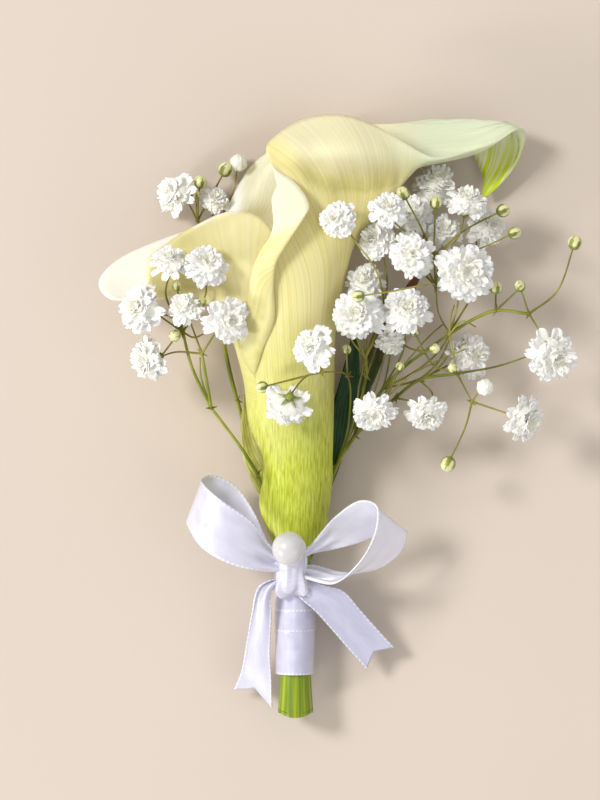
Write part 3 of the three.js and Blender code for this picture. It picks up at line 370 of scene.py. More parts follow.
def around(sides):
    """Evenly spaced angles once round."""
    return np.arange(sides) / sides * 2 * math.pi


def levels_and_angles(levels, sides):
    """Two grids, of the level and of the angle, one row for each level."""
    return np.meshgrid(levels, around(sides), indexing="ij")


def ball(polar, angle):
    """Points on a ball of radius one, from its angle down from the top and its angle round."""
    return np.stack([np.sin(polar) * np.cos(angle), np.sin(polar) * np.sin(angle), np.cos(polar)], axis=-1)


def fade(value, start, width):
    """0 at the start, rising to 1 over the width. With a negative width it rises the other way."""
    return np.clip((value - start) / width, 0, 1)


def unit(vectors):
    return vectors / np.maximum(np.linalg.norm(vectors, axis=-1, keepdims=True), TINY)


def lengths_along(path):
    return np.concatenate([[0], np.cumsum(np.linalg.norm(np.diff(path, axis=0), axis=1))])


def read_along(wanted, known, rows):
    """Rows of values read off at the wanted places, in straight steps between the known ones."""
    return np.stack([np.interp(wanted, known, column) for column in np.transpose(rows)], axis=1)


def spread(rows, count):
    """Rows of values made into this many rows."""
    return read_along(np.linspace(0, 1, count), np.linspace(0, 1, len(rows)), rows)


def between(t, low, high, x, first, second):
    return ((t[high] - x) * first + (x - t[low]) * second) / (t[high] - t[low])


def smooth_curve(points, count, start=0.0):
    """Evenly spaced points on a centripetal Catmull-Rom curve, from a share of its points on."""
    knots = np.asarray(points, float)
    ends = np.vstack([2 * knots[0] - knots[1], knots, 2 * knots[-1] - knots[-2]])
    dense = []
    for index in range(len(knots) - 1):
        quad = ends[index:index + 4]
        steps = np.sqrt(np.linalg.norm(np.diff(quad, axis=0), axis=1))
        t = np.concatenate([[0], np.cumsum(np.maximum(steps, 1e-6))])
        for share in np.linspace(0, 1, CURVE_STEPS, endpoint=False):
            x = t[1] + (t[2] - t[1]) * share
            lines = [between(t, i, i + 1, x, quad[i], quad[i + 1]) for i in range(3)]
            bends = [between(t, i, i + 2, x, lines[i], lines[i + 1]) for i in range(2)]
            dense.append(between(t, 1, 2, x, *bends))
    dense = np.array([*dense, knots[-1]])
    dense = dense[int(round(start * (len(dense) - 1))):]
    lengths = lengths_along(dense)
    return read_along(np.linspace(0, lengths[-1], count), lengths, dense)


def smooth_rows(grid, factor):
    """A grid made finer along its first direction by a smooth curve through its rows."""
    grid = np.asarray(grid, float)
    count = len(grid)
    padded = np.concatenate([[2 * grid[0] - grid[1]], grid, [2 * grid[-1] - grid[-2]]])
    result = []
    for value in np.linspace(0, count - 1, (count - 1) * factor + 1):
        index = min(int(value), count - 2)
        u = value - index
        a, b, c, d = padded[index:index + 4]
        result.append(0.5 * (2 * b + (c - a) * u + (2 * a - 5 * b + 4 * c - d) * u * u
                             + (3 * b - a - 3 * c + d) * u ** 3))
    return np.array(result)


def grid_normals(grid):
    return unit(np.cross(np.gradient(grid, axis=1), np.gradient(grid, axis=0)))


def turned(direction):
    """A 3x3 matrix whose third column is the direction, and the direction at length one."""
    up = unit(np.asarray(direction, float))
    return np.array(Vector((0, 0, 1)).rotation_difference(Vector(up)).to_matrix()), up


def rings_across(path, reach, angles):
    """Rings across a path, without a twist, from how far out the points lie and at which angles."""
    tangents = unit(np.gradient(path, axis=0))
    first = unit(np.cross(tangents[0], ASLANT))
    firsts = []
    for tangent in tangents:
        first = unit(first - tangent * np.dot(first, tangent))
        firsts.append(first)
    seconds = np.cross(tangents, firsts)
    cosine, sine = np.cos(angles)[..., None], np.sin(angles)[..., None]
    return path[:, None] + reach[..., None] * (cosine * np.array(firsts)[:, None] + sine * seconds[:, None])


def rings_round(x, y, z, half_width, half_depth, angle):
    """Oval rings round the length of the bunch, one for each height."""
    points = np.broadcast_arrays(x + half_width * np.cos(angle), y, z + half_depth * np.sin(angle))
    return np.stack(points, axis=2)


# Meshes

def quads(*corners):
    """Four-sided faces from four grids of point numbers, one for each corner."""
    return np.stack(corners, axis=-1).reshape(-1, 4)


def put(name, data):
    """A new object in the scene."""
    thing = bpy.data.objects.new(name, data)
    bpy.context.scene.collection.objects.link(thing)
    return thing


class Shape:
    """Gathers points, faces and named values at the points for one mesh."""

    def __init__(self):
        self.points, self.faces, self.coordinates = [], [], []
        self.marks = {}
        self.count = 0

    def add(self, points, faces, coordinates, **marks):
        points = np.asarray(points, float).reshape(-1, 3)
        self.points.append(points)
        self.coordinates.append(coordinates)
        self.faces.extend([self.count + corner for corner in face] for face in faces)
        for name, value in marks.items():
            values = np.broadcast_to(np.asarray(value, float), len(points))
            self.marks.setdefault(name, []).append((self.count, values))
        self.count += len(points)

    def piece(self, name, material, node, slot):
        """The mesh as a piece that stands for a node of the solids."""
        mesh = bpy.data.meshes.new(name)
        mesh.from_pydata(place(np.concatenate(self.points)).tolist(), [], self.faces)
        corners = np.zeros(len(mesh.loops), int)
        mesh.loops.foreach_get("vertex_index", corners)
        layer = mesh.uv_layers.new(name="UVMap")
        layer.data.foreach_set("uv", np.concatenate(self.coordinates)[corners].ravel())
        for mark, parts in self.marks.items():
            values = np.zeros(self.count)
            for start, part in parts:
                values[start:start + len(part)] = part
            mesh.attributes.new(mark, "FLOAT", "POINT").data.foreach_set("value", values)
        mesh.polygons.foreach_set("use_smooth", [True] * len(mesh.polygons))
        mesh.materials.append(material)
        mesh.validate()
        mesh.update()
        piece = put(name, mesh)
        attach(piece, "root")
        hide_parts(node)
        return piece


def add_sheet(shape, grid, thickness, coordinates=None, edge_share=0.35, **marks):
    """A closed thin sheet: its two faces, thinner towards the margins, and the margin itself."""
    grid = np.asarray(grid, float)
    rows, columns = grid.shape[:2]
    back = rows * columns
    inside = np.ones((rows, columns, 1))
    inside[[0, -1]] = edge_share
    inside[:, [0, -1]] = edge_share
    offset = grid_normals(grid) * (thickness / 2) * inside
    numbers = np.arange(back).reshape(rows, columns)
    front = quads(numbers[:-1, :-1], numbers[:-1, 1:], numbers[1:, 1:], numbers[1:, :-1])
    rim = np.concatenate([numbers[0], numbers[1:, -1], numbers[-1, -2::-1], numbers[-2:0:-1, 0]])
    following = np.roll(rim, -1)
    walls = quads(following, rim, back + rim, back + following)
    faces = np.concatenate([front, back + front[:, ::-1], walls]).tolist()
    if coordinates is None:
        coordinates = np.zeros((rows, columns, 2))
    coordinates = np.tile(np.reshape(coordinates, (-1, 2)), (2, 1))
    marks = {name: np.tile(np.broadcast_to(value, (rows, columns)).ravel(), 2)
             for name, value in marks.items()}
    shape.add([grid + offset, grid - offset], faces, coordinates, side=np.repeat([0.0, 1.0], back), **marks)


def add_rings(shape, rings, **marks):
    """A closed body from rings of points, with a cap at each end."""
    rings = np.asarray(rings, float)
    count, sides = rings.shape[:2]
    middles = rings.mean(axis=1)
    numbers = np.arange(count * sides).reshape(count, sides)
    following = np.roll(numbers, -1, axis=1)
    faces = quads(numbers[:-1], following[:-1], following[1:], numbers[1:]).tolist()
    faces += [(b, a, count * sides) for a, b in zip(numbers[0].tolist(), following[0].tolist())]
    faces += [(a, b, count * sides + 1) for a, b in zip(numbers[-1].tolist(), following[-1].tolist())]
    lengths = lengths_along(middles)
    shares, along = np.meshgrid(np.arange(sides) / sides, lengths)
    coordinates = np.stack([shares.ravel(), along.ravel()], axis=1)
    caps = [[0.5, 0], [0.5, lengths[-1]]]
    shape.add(np.concatenate([rings.reshape(-1, 3), middles[[0, -1]]]), faces,
              np.concatenate([coordinates, caps]), **marks)


# Spathe

def tube_point(level, degrees):
    y, centre_x, centre_z, half_width, half_depth = level
    layer = LAYER_STEP * (1 - 2 * (degrees - FIRST_ANGLE) / (LAST_ANGLE - FIRST_ANGLE))
    angle = math.radians(degrees)
    x = centre_x + (half_width + layer) * math.sin(angle)
    z = centre_z + (half_depth + layer) * math.cos(angle)
    return (x, y, z)


def spathe_column(degrees, *flare):
    tube = np.array([tube_point(level, degrees) for level in TUBE_LEVELS])
    rows = smooth_curve([*tube[-2:], *flare], FLARE_ROWS + 1, start=1 / (len(flare) + 1))
    return np.vstack([smooth_rows(tube, TUBE_FINENESS), rows[1:]])


# Where the lobe over the tube folds, from left to right. Shade is painted along this line.
CREASE = ((-8, 63.8), (1, 55), (7.2, 52.2), (16.8, 52.2), (25.8, 55), (31.5, 60.8))

# Where the left lobe rolls over outwards, upwards from its lower edge: height and place across. Light is
# painted on its left side and shade on its right.
ROLL = ((26, -36.5), (31, -38), (36, -37.8), (38.7, -34.6), (41, -31), (42.7, -27.5), (45, -21), (47, -14))


def spathe_marks(grid, degrees):
    """How far each point of the flower belongs to each of its coloured places, from 0 to 1. Some places are
    painted light and shade, by the left lobe's roll and along the crease.
    """
    x, y, z = np.moveaxis(grid, 2, 0)
    rolled = np.interp(y, *np.transpose(ROLL)) - x
    over_roll = fade(degrees, 215, 12) * fade(y, 14, 8) * fade(y, 50, -2)
    to_tip = np.linalg.norm(grid - np.array(SPATHE_TIP), axis=2)
    at_back = fade(degrees, 158, 8) * fade(degrees, 206, -8)
    above = y - np.interp(x, *np.transpose(CREASE))
    near_crease = np.exp(-(above / np.where(above > 0, 4.5, 0.7)) ** 2) * fade(x, -9, 10) * fade(x, 34, -6)
    return {
        "flared": fade(degrees, -26, 14) * fade(y, 14, 10),
        # Left of the roll: the sheet's pale inside, made whiter by painted light
        "lobe": 0.85 * fade(rolled, 0, 0.9) * fade(y, 20, 6),
        # Right of the roll: painted shade, darkest close to the roll
        "hollow": fade(rolled, 0, -0.8) * over_roll * (0.55 + 0.45 * np.exp(-(rolled / 5) ** 2)),
        "tip": fade(to_tip, 20.8, -13) * at_back,
        "end": 0.8 * fade(to_tip, 8.75, -7) * at_back,
        "base": fade(y, 23, -39) ** 1.1,
        # Painted shade along the crease, reaching further up the lobe than down the tube
        "throat": 0.85 * near_crease * fade(z, 8, 8) * fade(degrees, 30, 20),
        "band": fade(x, 20, 12) * fade(y, 50, 10),
        "over": fade(above, 0, 6) * fade(x, -15, 6) * fade(x, 34, -6),
    }


def spathe_coordinates(grid, degrees):
    """Across and along the veins, in decimetres. The veins run straight up the front of the tube."""
    spacing = np.linalg.norm(np.diff(grid, axis=1), axis=2).mean(axis=0)
    wide = np.concatenate([[0], np.cumsum(spacing)])
    tube_top = grid[TUBE_FINENESS * (len(TUBE_LEVELS) - 1), :, 0]
    front = (degrees > -30) & (degrees < 80)
    stretch, offset = np.polyfit(tube_top[front], wide[front], 1)
    on_tube = fade(grid[:, :, 1], 16, -16)
    across = wide * (1 - on_tube) + (stretch * grid[:, :, 0] + offset) * on_tube
    steps = np.linalg.norm(np.diff(grid, axis=0), axis=2)
    along = np.vstack([np.zeros(len(degrees)), np.cumsum(steps, axis=0)])
    return np.stack([across, along], axis=2) / 100


def make_spathe():
    columns = smooth_rows([spathe_column(*column) for column in SPATHE_COLUMNS], 4)
    grid = columns.transpose(1, 0, 2)
    degrees = spread([[column[0]] for column in SPATHE_COLUMNS], len(columns))[:, 0]
    shape = Shape()
    add_sheet(shape, grid, PETAL_THICKNESS, spathe_coordinates(grid, degrees), **spathe_marks(grid, degrees))
    shape.piece("calla_spathe", spathe_material(), "spathe", "calla_petal")


# Baby's breath

BLOOMS = {f"bloom_{side}_{number:02d}": row for side, rows in BLOOM_ROWS.items()
          for number, row in enumerate(rows, 1)}

# Tiers of petals: how many, length, start angle, end angle, width, as shares of the radius or degrees
PETAL_TIERS = (
    (10, 1.16, 24, -30, 0.5),
    (10, 1.13, 40, -18, 0.5),
    (9, 1.1, 56, -4, 0.47),
    (8, 1.06, 68, 10, 0.44),
    (7, 1.0, 80, 28, 0.4),
    (5, 0.88, 88, 56, 0.34),
)
PETAL_ALONG = np.array([0, 0.18, 0.38, 0.56, 0.72, 0.86, 0.95, 1.0])
PETAL_HALF_WIDTHS = 0.5 * np.array([0.24, 0.42, 0.72, 0.95, 1.06, 1.0, 0.8, 0.46])
ANY_PHASE = (0, 6.28)


def bloom_parts(name):
    """A bloom's middle, turn, upward direction, radius, size and the top of the cup under it."""
    at, across, facing = BLOOMS[name][:3]
    at = np.array(at, float)
    matrix, up = turned(facing)
    radius = across / 2
    size = SMALL_SIZE if across < SMALL_BLOOM else 1.0
    return at, matrix, up, radius, size, at - up * (BLOOM_UNDERSIDE * radius + GAP)


def petal_grid(length, start, end, width, draw):
    """One petal in its own upright plane: narrow at its foot, broad, round and faintly notched at its end."""
    angles = np.radians(start + (end - start) * PETAL_ALONG ** 1.2)[:-1]
    steps = np.diff(PETAL_ALONG) * length
    reach = np.concatenate([[0], np.cumsum(np.cos(angles) * steps)])[:, None]
    rise = np.concatenate([[0], np.cumsum(np.sin(angles) * steps)])[:, None]
    half = width * PETAL_HALF_WIDTHS[:, None]
    phase = draw.uniform(*ANY_PHASE)
    notch = draw.uniform(0.04, 0.13)
    v, u = np.meshgrid(PETAL_ALONG, np.linspace(-1, 1, 7), indexing="ij")
    back = notch * length * np.maximum(0, 1 - 2.2 * np.abs(u)) * (v > 0.9)
    ruffle = 0.12 * width * np.sin(5 * v + 4.2 * u + phase) * v ** 2
    cup = 0.34 * half * u * u
    return np.stack([reach - back, u * half, rise + cup + ruffle], axis=2)


def add_heart(shape, centre, matrix, radius, draw, below, above):
    """The crowded small petals in the middle of a bloom, as one lumpy dome."""
    phases = [draw.uniform(*ANY_PHASE) for _ in range(3)]
    polar, angle = levels_and_angles(np.radians(np.linspace(176, 4, 14)), 28)
    lumps = np.sin(5 * angle + phases[0]) * np.sin(4 * polar + phases[1]) + np.sin(9 * angle + phases[2])
    local = ball(polar, angle) * (radius * (0.76 + 0.04 * lumps))[..., None]
    local[..., 2] *= np.where(polar > math.pi / 2, below, above)
    add_rings(shape, centre + local @ matrix.T, reach=0.25, inner=0.6)


def make_bloom(name):
    draw = random.Random(name)
    at, matrix, up, radius, size, _ = bloom_parts(name)
    shape = Shape()
    if size < 1:
        add_heart(shape, at, matrix, 1.25 * radius, draw, 0.9, 1.0)
    else:
        add_heart(shape, at - up * 0.05 * radius, matrix, radius, draw, 0.45, 0.76)
    for tier, (count, length, start, end, width) in enumerate(PETAL_TIERS):
        if size < 1:
            length, start, end = length * 0.8, 84, 70
        for index in range(count):
            turn = (index + draw.uniform(-0.4, 0.4)) / count * 2 * math.pi + tier * 0.9
            grid = petal_grid(length * radius * draw.uniform(0.78, 1.06), start + draw.uniform(-14, 14),
                              end + draw.uniform(-26, 26), width * radius * draw.uniform(0.75, 1.2), draw)
            grid += np.array([0.05, 0, tier * 0.05 - 0.3]) * radius
            cosine, sine = math.cos(turn), math.sin(turn)
            twist = np.array([[cosine, -sine, 0], [sine, cosine, 0], [0, 0, 1]])
            depth = np.linspace(0, 1, len(grid))[:, None]
            grid = grid @ twist.T @ matrix.T + at
            add_sheet(shape, grid, BLOOM_PETAL_THICKNESS, reach=depth, inner=tier / 5)
    shape.piece(name + "_petals", bloom_material(), name, "bloom_petal")


def stop_point(stop):
    """Where a stalk's stop is: a point, a fork's name or a bloom's name."""
    if not isinstance(stop, str):
        return stop
    if stop in FORKS:
        return FORKS[stop]
    _, _, up, _, size, tip = bloom_parts(stop)
    return tip - up * CUP_LENGTH * size * 0.6


def twig_path(route):
    return smooth_curve([stop_point(stop) for stop in route], 6 + 7 * (len(route) - 1))


def spoke(matrix, angle):
    return matrix @ np.array([math.cos(angle), math.sin(angle), 0])


# The green cup from its foot upwards: height and radius, as shares
CUP_PROFILE = ((0.0, 0.3), (0.25, 0.75), (0.6, 1.0), (0.9, 1.05), (1.0, 0.9))
SEPALS = 5

# How far sepals rise and open out, and their half-width, by the way the bloom faces
HANGING = -0.3
OPEN_SEPALS = (0.5, 2.5, 0.42)
CLOSED_SEPALS = (1.35, 1.15, 0.5)


def add_cup(shape, name):
    """The cup under a bloom, with sepals that hug it, or that open into a star where the bloom hangs."""
    _, matrix, up, _, size, tip = bloom_parts(name)
    rings = [[tip + up * (level - 1) * CUP_LENGTH * size + spoke(matrix, angle) * reach * CUP_RADIUS * size
              for angle in around(10)] for level, reach in CUP_PROFILE]
    add_rings(shape, rings, sepal=1.0)
    rise, opening, width = OPEN_SEPALS if up[2] < HANGING else CLOSED_SEPALS
    for angle in around(SEPALS) + math.pi / SEPALS:
        outward, sideways = spoke(matrix, angle), spoke(matrix, angle + math.pi / 2)
        grid = []
        for v in np.linspace(0, 1, 5):
            middle = tip + (up * (-0.3 + rise * v) + outward * (1.0 + opening * v - 0.2 * v * v)) * size
            half = width * (1 - v ** 1.6) + 0.04
            grid.append([middle + sideways * half * u * size + up * 0.12 * u * u for u in (-1, -0.4, 0.4, 1)])
        add_sheet(shape, grid, 0.14, sepal=1.0)


def add_bud(shape, centre, before, across):
    """A round pale bud, held from below by five green sepals that end in points."""
    matrix, _ = turned(np.subtract(centre, before))
    level, angle = levels_and_angles(np.linspace(0.03, 0.98, 15), 30)
    crest = 0.5 + 0.5 * np.cos(SEPALS * angle)
    rib = 1 + 0.05 * (crest - 0.5) * np.sin(math.pi * level)
    local = ball(math.pi * level, angle) * np.stack([rib, rib, np.full(rib.shape, -1.06)], axis=2)
    sepals = (level < 0.3 + 0.52 * crest ** 1.8).ravel()
    add_rings(shape, local @ matrix.T * across / 2 + centre, sepal=[*sepals, 1.0, 0.0])


def add_joint(shape, centre, draw):
    """A swollen fork with two small pointed bracts."""
    add_rings(shape, centre + 0.58 * ball(*levels_and_angles(math.pi * np.linspace(0.08, 0.92, 6), 8)))
    for side in (-1, 1):
        angle = draw.uniform(0, math.pi) + (0 if side > 0 else math.pi)
        outward = unit(np.array([math.cos(angle), math.sin(angle), draw.uniform(-0.3, 0.6)]))
        sideways = np.cross(outward, (0, 0, 1))
        v, u = np.meshgrid(np.linspace(0, 0.97, 4), (-1, 0, 1), indexing="ij")
        v, u = v[..., None], u[..., None]
        lift = np.array([0, 0, 0.25]) * v
        add_sheet(shape, centre + outward * (0.3 + 1.5 * v) + sideways * u * 0.36 * (1 - v) + lift, 0.16)


def make_spray(side):
    name = "spray_" + side
    spray = SPRAYS[side]
    draw = random.Random(name)
    trunks, twigs, buds = Shape(), Shape(), Shape()
    for route in spray["trunks"]:
        path = twig_path(route)
        end = TRUNK_RADIUS * (0.85 if "foot" in route[0] else 0.62)
        add_rings(trunks, rings_across(path, np.linspace(end * 1.18, end, len(path))[:, None], around(10)))
    blooms = {bloom: [*row[3:], bloom] for bloom, row in BLOOMS.items() if side in bloom}
    all_buds = spray["buds"] + spray["fine_buds"]
    for route in spray["links"] + [*blooms.values()] + spray["fine_links"] + [bud[:-1] for bud in all_buds]:
        path = twig_path(route)
        swell = np.linspace(TWIG_RADIUS * 1.15, TWIG_RADIUS * 0.8, len(path))[:, None]
        swell[:2] *= 1.25
        add_rings(twigs, rings_across(path, swell, around(8)))
    stops = sum([*spray["trunks"], *spray["links"], *blooms.values(), *spray["buds"]], [])
    joints = {stop for stop in stops if isinstance(stop, str) and stop in FORKS}
    for joint in sorted(joints):
        if "foot" not in joint and "neck" not in joint:
            add_joint(twigs, FORKS[joint], draw)
    for bloom in blooms:
        add_cup(buds, bloom)
    for *stops, before, centre, across in all_buds:
        add_bud(buds, centre, stop_point(before), across)
    trunks.piece(name + "_trunks", bark_material("spray_trunk"), name, "spray_green")
    twigs.piece(name + "_twigs", bark_material("spray_twig"), name, "spray_green")
    buds.piece(name + "_buds", bud_material(), name, "spray_green")


# Leaves

LEAF_ROWS = 61
LEAF_COLUMNS = 13
LEAF_LENGTH = 12


def make_leaf(name, crease, stations):
    stations = np.array(stations)
    rib = smooth_curve(stations[:, :3], LEAF_ROWS)
    half = spread(stations, LEAF_ROWS)[:, 3:]
    along_rib = np.gradient(rib, axis=0)
    across = unit(np.stack([along_rib[:, 1], -along_rib[:, 0], np.zeros(LEAF_ROWS)], axis=1))
    u = np.linspace(-1, 1, LEAF_COLUMNS)
    grid = rib[:, None] + across[:, None] * (half * u)[..., None]
    wave = 0.12 * half * np.sin(np.arange(LEAF_ROWS)[:, None] * 0.7 + 2 * u) * np.abs(u)
    grid[:, :, 2] += crease * np.abs(u) * np.minimum(half, 1.5) + wave * (half > 0.8)
    shape = Shape()
    add_sheet(shape, grid, LEAF_THICKNESS,
              np.stack(np.meshgrid(u, np.linspace(0, LEAF_LENGTH, LEAF_ROWS)), axis=2))
    shape.piece(name + "_blade", leaf_material(name), name, name.split("_")[1] + "_leaf")


# Calla stem and spadix

# The stem from its cut upwards: height and share of its radius
STEM_PROFILE = (
    (STEM_CUT_Y + 0.25, 0.25), (STEM_CUT_Y, 0.9), (STEM_CUT_Y, 0.97), (STEM_CUT_Y + 0.3, 1.0),
    (STEM_CUT_Y + 2, 0.995), (-74, 0.93), (WRAP_BOTTOM_Y - 1, 0.875), (-60, 0.86), (STEM_TOP_Y, 0.86),
)
SPADIX_ROWS = 90
SPADIX_SIDES = 24


def make_calla_stem():
    heights, reaches = spread(STEM_PROFILE, 60).T[..., None]
    angle = around(48)
    ridges = 1 + 0.012 * np.cos(7 * angle) + 0.006 * np.cos(13 * angle + 1)
    radius = STEM_END_RADIUS * reaches * ridges * 0.985
    rounding = 1.3 * np.cos(angle) ** 2 * (heights < STEM_CUT_Y + 1)
    shape = Shape()
    add_rings(shape, rings_round(STEM_X, heights + rounding, STEM_Z, radius, radius, angle))
    shape.piece("calla_stalk", stem_material(), "calla_stem", "calla_stem")


def make_spadix():
    route = [[-1.1, STEM_TOP_Y + 0.6, 8.9], [-1, -22, 10.6], [-2, -6, 13], [-3.6, 8, 15.4], [-3.4, 16, 17]]
    shares = np.linspace(0, 1, SPADIX_ROWS)
    radii = (2.4 - 0.7 * shares) * np.sqrt(np.clip(1 - fade(shares, 0.9, 0.1) ** 2, 0.02, 1))
    row, side = np.indices((SPADIX_ROWS, SPADIX_SIDES))
    grains = 1 + 0.06 * np.where((side + row) % 2, 1, -1)
    angles = (side + 0.5 * (row % 2)) / SPADIX_SIDES * 2 * math.pi
    shape = Shape()
    add_rings(shape, rings_across(smooth_curve(route, SPADIX_ROWS), radii[:, None] * grains, angles))
    shape.piece("calla_spadix", spadix_material(), "spadix", "spadix")


# Ribbon

NOTCH_DEPTH = 0.08
STATION_STEPS = 24

# How far the folds reach from each end as a share of the length, and how many there are
GATHERS = {
    "bow_loop_left": (0.16, 0.12, 2),
    "bow_loop_right": (0.16, 0.16, 2),
    "bow_tail_left": (0.34, 0, 1),
    "bow_tail_right": (0.2, 0, 1),
}

# The deepest that one fold and two folds may be
MAX_FOLD = {1: 1.5, 2: 0.9}

# Where each ribbon goes on into the knot, before its first station and after its last
RIBBON_ROOTS = {
    "bow_loop_left": ([[[-3.6, -40, 18.4], [-3.6, -42.8, 18]]], [[[-3.8, -40.2, 16.4], [-3.8, -42.2, 16.2]]]),
    "bow_loop_right": ([[[-1.4, -39.4, 18.8], [-1.2, -40, 16.8]]], [[[-1.2, -44, 17.6], [-1, -42, 16]]]),
    "bow_tail_left": ([[[-3.4, -44, 15.4], [-2.2, -44.4, 15.4]]], []),
    "bow_tail_right": ([[[-2.4, -44.6, 15.6], [-1.2, -43.4, 15.6]]], []),
}

# Some ribbons take a lighter copy of the satin, which is painted light, or a deeper copy, which is painted
# shade
SATIN_PAINTED_LIGHT_AND_SHADE = {"bow_loop_right": "satin_painted_light", "bow_tail_right": "satin_painted_shade"}


def ribbon_grid(stations, notch, steps=72, columns=25):
    """Points across the ribbon from one edge to the other, row by row along it."""
    count = len(stations) * STATION_STEPS
    near, far = [smooth_curve([pair[edge] for pair in stations], count) for edge in (0, 1)]
    lines = []
    for u in np.linspace(0, 1, columns):
        wanted = np.linspace(0, 1 - notch * (1 - abs(2 * u - 1)), steps)
        lines.append(read_along(wanted, np.linspace(0, 1, count), near + (far - near) * u))
    return np.stack(lines, axis=1)


def ribbon_length(grid):
    return float(lengths_along(grid[:, grid.shape[1] // 2])[-1]) * MM


def gather(grid, at_start, at_end, folds):
    """Lengthwise folds by the knot, as deep as the ribbon's full width asks for where it is drawn in."""
    rows, columns = grid.shape[:2]
    t = np.linspace(0, 1, rows)
    strength = np.exp(-(t / at_start) ** 2)
    if at_end:
        strength += np.exp(-((1 - t) / at_end) ** 2)
    widths = np.linalg.norm(grid[:, -1] - grid[:, 0], axis=1)
    fullness = np.maximum(RIBBON_WIDTH / MM / widths, 1.0)
    slope = np.sqrt(2 * (fullness ** 2 - 1))
    deepest = np.minimum(widths * slope / (2 * math.pi * folds), MAX_FOLD[folds])
    depth = deepest * np.minimum(strength + 0.1, 1)
    u = np.linspace(0, 1, columns)
    wave = np.sin(folds * 2 * math.pi * u + 0.6) * np.sin(math.pi * u) ** 0.3
    return grid + grid_normals(grid) * np.outer(depth, wave)[..., None]


def make_ribbon(name, stations):
    before, after = RIBBON_ROOTS[name]
    is_tail = "tail" in name
    grid = gather(ribbon_grid(before + stations + after, NOTCH_DEPTH if is_tail else 0.0), *GATHERS[name])
    rows, columns = grid.shape[:2]
    along = np.linspace(0, ribbon_length(grid) * 100, rows)
    coordinates = np.meshgrid(np.linspace(0, 1, columns), along)
    shape = Shape()
    add_sheet(shape, grid, RIBBON_THICKNESS, np.stack(coordinates, axis=2), edge_share=1.3)
    material = ribbon_material(SATIN_PAINTED_LIGHT_AND_SHADE.get(name, "satin_middle"))
    piece = shape.piece(name + "_satin", material, name, "satin_ribbon")


# The knot's band along the bunch: height, half-width and half-depth, from below the pearl downwards
KNOT_LEVELS = (
    (-37.4, 2.2, 1.3), (-37.8, 3.3, 2.2), (-39.4, 4, 3.4), (-41.6, 3.9, 3.8), (-43.6, 3.6, 3.2),
    (-45.2, 3.9, 2.8), (-46.8, 4.2, 2.6), (-48, 4, 2.2), (-48.7, 3, 1.6),
)
KNOT_TOP_Y = -37.4
KNOT_LENGTH = 10.6


def make_knot():
    y, half_width, half_depth = smooth_rows(KNOT_LEVELS, 7).T[..., None]
    share = (KNOT_TOP_Y - y) / KNOT_LENGTH
    angle = around(120)
    folds = np.cos(6 * angle + 2.6 * share) + 0.7 * np.cos(11 * angle - 4.2 * share + 1)
    fold = 1 + (0.03 + 0.025 * share) * folds
    drape = (0.3 * np.cos(5 * angle + 0.8) - 0.7 * np.cos(2 * angle + 0.5)) * share ** 3
    x = -2.5 + 0.5 * share
    z = 17.5 - 1.5 * share * share
    shape = Shape()
    add_rings(shape, rings_round(x, y + drape, z, half_width * fold, half_depth * fold, angle))
    shape.piece("bow_knot_satin", ribbon_material("satin_middle"), "bow_knot", "satin_ribbon")


# Where the wrap's bands end, from its lower edge upwards, and how far each stands out at its lower edge
WRAP_BANDS = ((-69.2, 0.0), (-58.4, 0.16), (-53.2, 0.18), (-47.4, 0.16))
BAND_TAPER = 5.5

# The wrap's walls at its sides and above, and how low its outside and its inside reach
SIDE_WALL = 0.9
UPPER_WALL = 0.7
UNDERSIDE = 0.02
INNER_UNDERSIDE = 0.6


def wrap_reach(y, angle):
    """How far the wound ribbon stands out: each turn overlaps the one below by a slanting edge."""
    reach = 0.03 * np.sin(3 * angle + 0.5 * y) + 0.02 * np.sin(9 * angle - 0.8 * y)
    step_out = 0.0
    for edge, step in WRAP_BANDS:
        on_band = y - (edge + 0.5 * np.cos(angle - 0.4))
        step_out = np.where(on_band > 0, step * np.exp(-on_band / BAND_TAPER), step_out)
    return reach + step_out


def make_wrap():
    angle = around(72)
    y = np.linspace(WRAP_BOTTOM_Y, WRAP_TOP_Y, 140)[:, None]
    share = (y - WRAP_BOTTOM_Y) / (WRAP_TOP_Y - WRAP_BOTTOM_Y)
    reach = wrap_reach(y, angle)
    half_width = WRAP_HALF_WIDTH - 0.45 * (1 - share) ** 1.5 + reach
    outside = rings_round(STEM_X - 0.15 * (1 - share), y, WRAP_CENTRE_Z, half_width,
                          WRAP_HALF_DEPTH + reach, angle)
    inside = rings_round(STEM_X, y[::-6], WRAP_CENTRE_Z, WRAP_HALF_WIDTH - SIDE_WALL,
                         WRAP_HALF_DEPTH - UPPER_WALL, angle)
    outside[..., 2] = np.maximum(outside[..., 2], UNDERSIDE)
    inside[..., 2] = np.maximum(inside[..., 2], INNER_UNDERSIDE)
    rings = np.concatenate([outside, inside])
    count, sides = rings.shape[:2]
    numbers = np.arange(count * sides).reshape(count, sides)
    higher = np.roll(numbers, -1, axis=0)
    faces = quads(numbers, higher, np.roll(higher, -1, axis=1), np.roll(numbers, -1, axis=1)).tolist()
    heights = rings[:, 0, 1]
    edges = np.array([edge for edge, _ in WRAP_BANDS])
    nearest = edges[np.clip(np.searchsorted(edges, heights, side="right") - 1, 0, None)]
    up_the_band = np.clip((heights - nearest) / (RIBBON_WIDTH / MM), 0, 0.9)
    coordinates = np.meshgrid(up_the_band, np.arange(sides) / sides * 4, indexing="ij")
    shape = Shape()
    shape.add(rings, faces, np.stack(coordinates, axis=2).reshape(-1, 2))
    # The wrap takes the deep copy of the satin: painted shade
    shape.piece("ribbon_wrap_satin", ribbon_material("satin_painted_shade"), "ribbon_wrap", "satin_ribbon")


# Pin

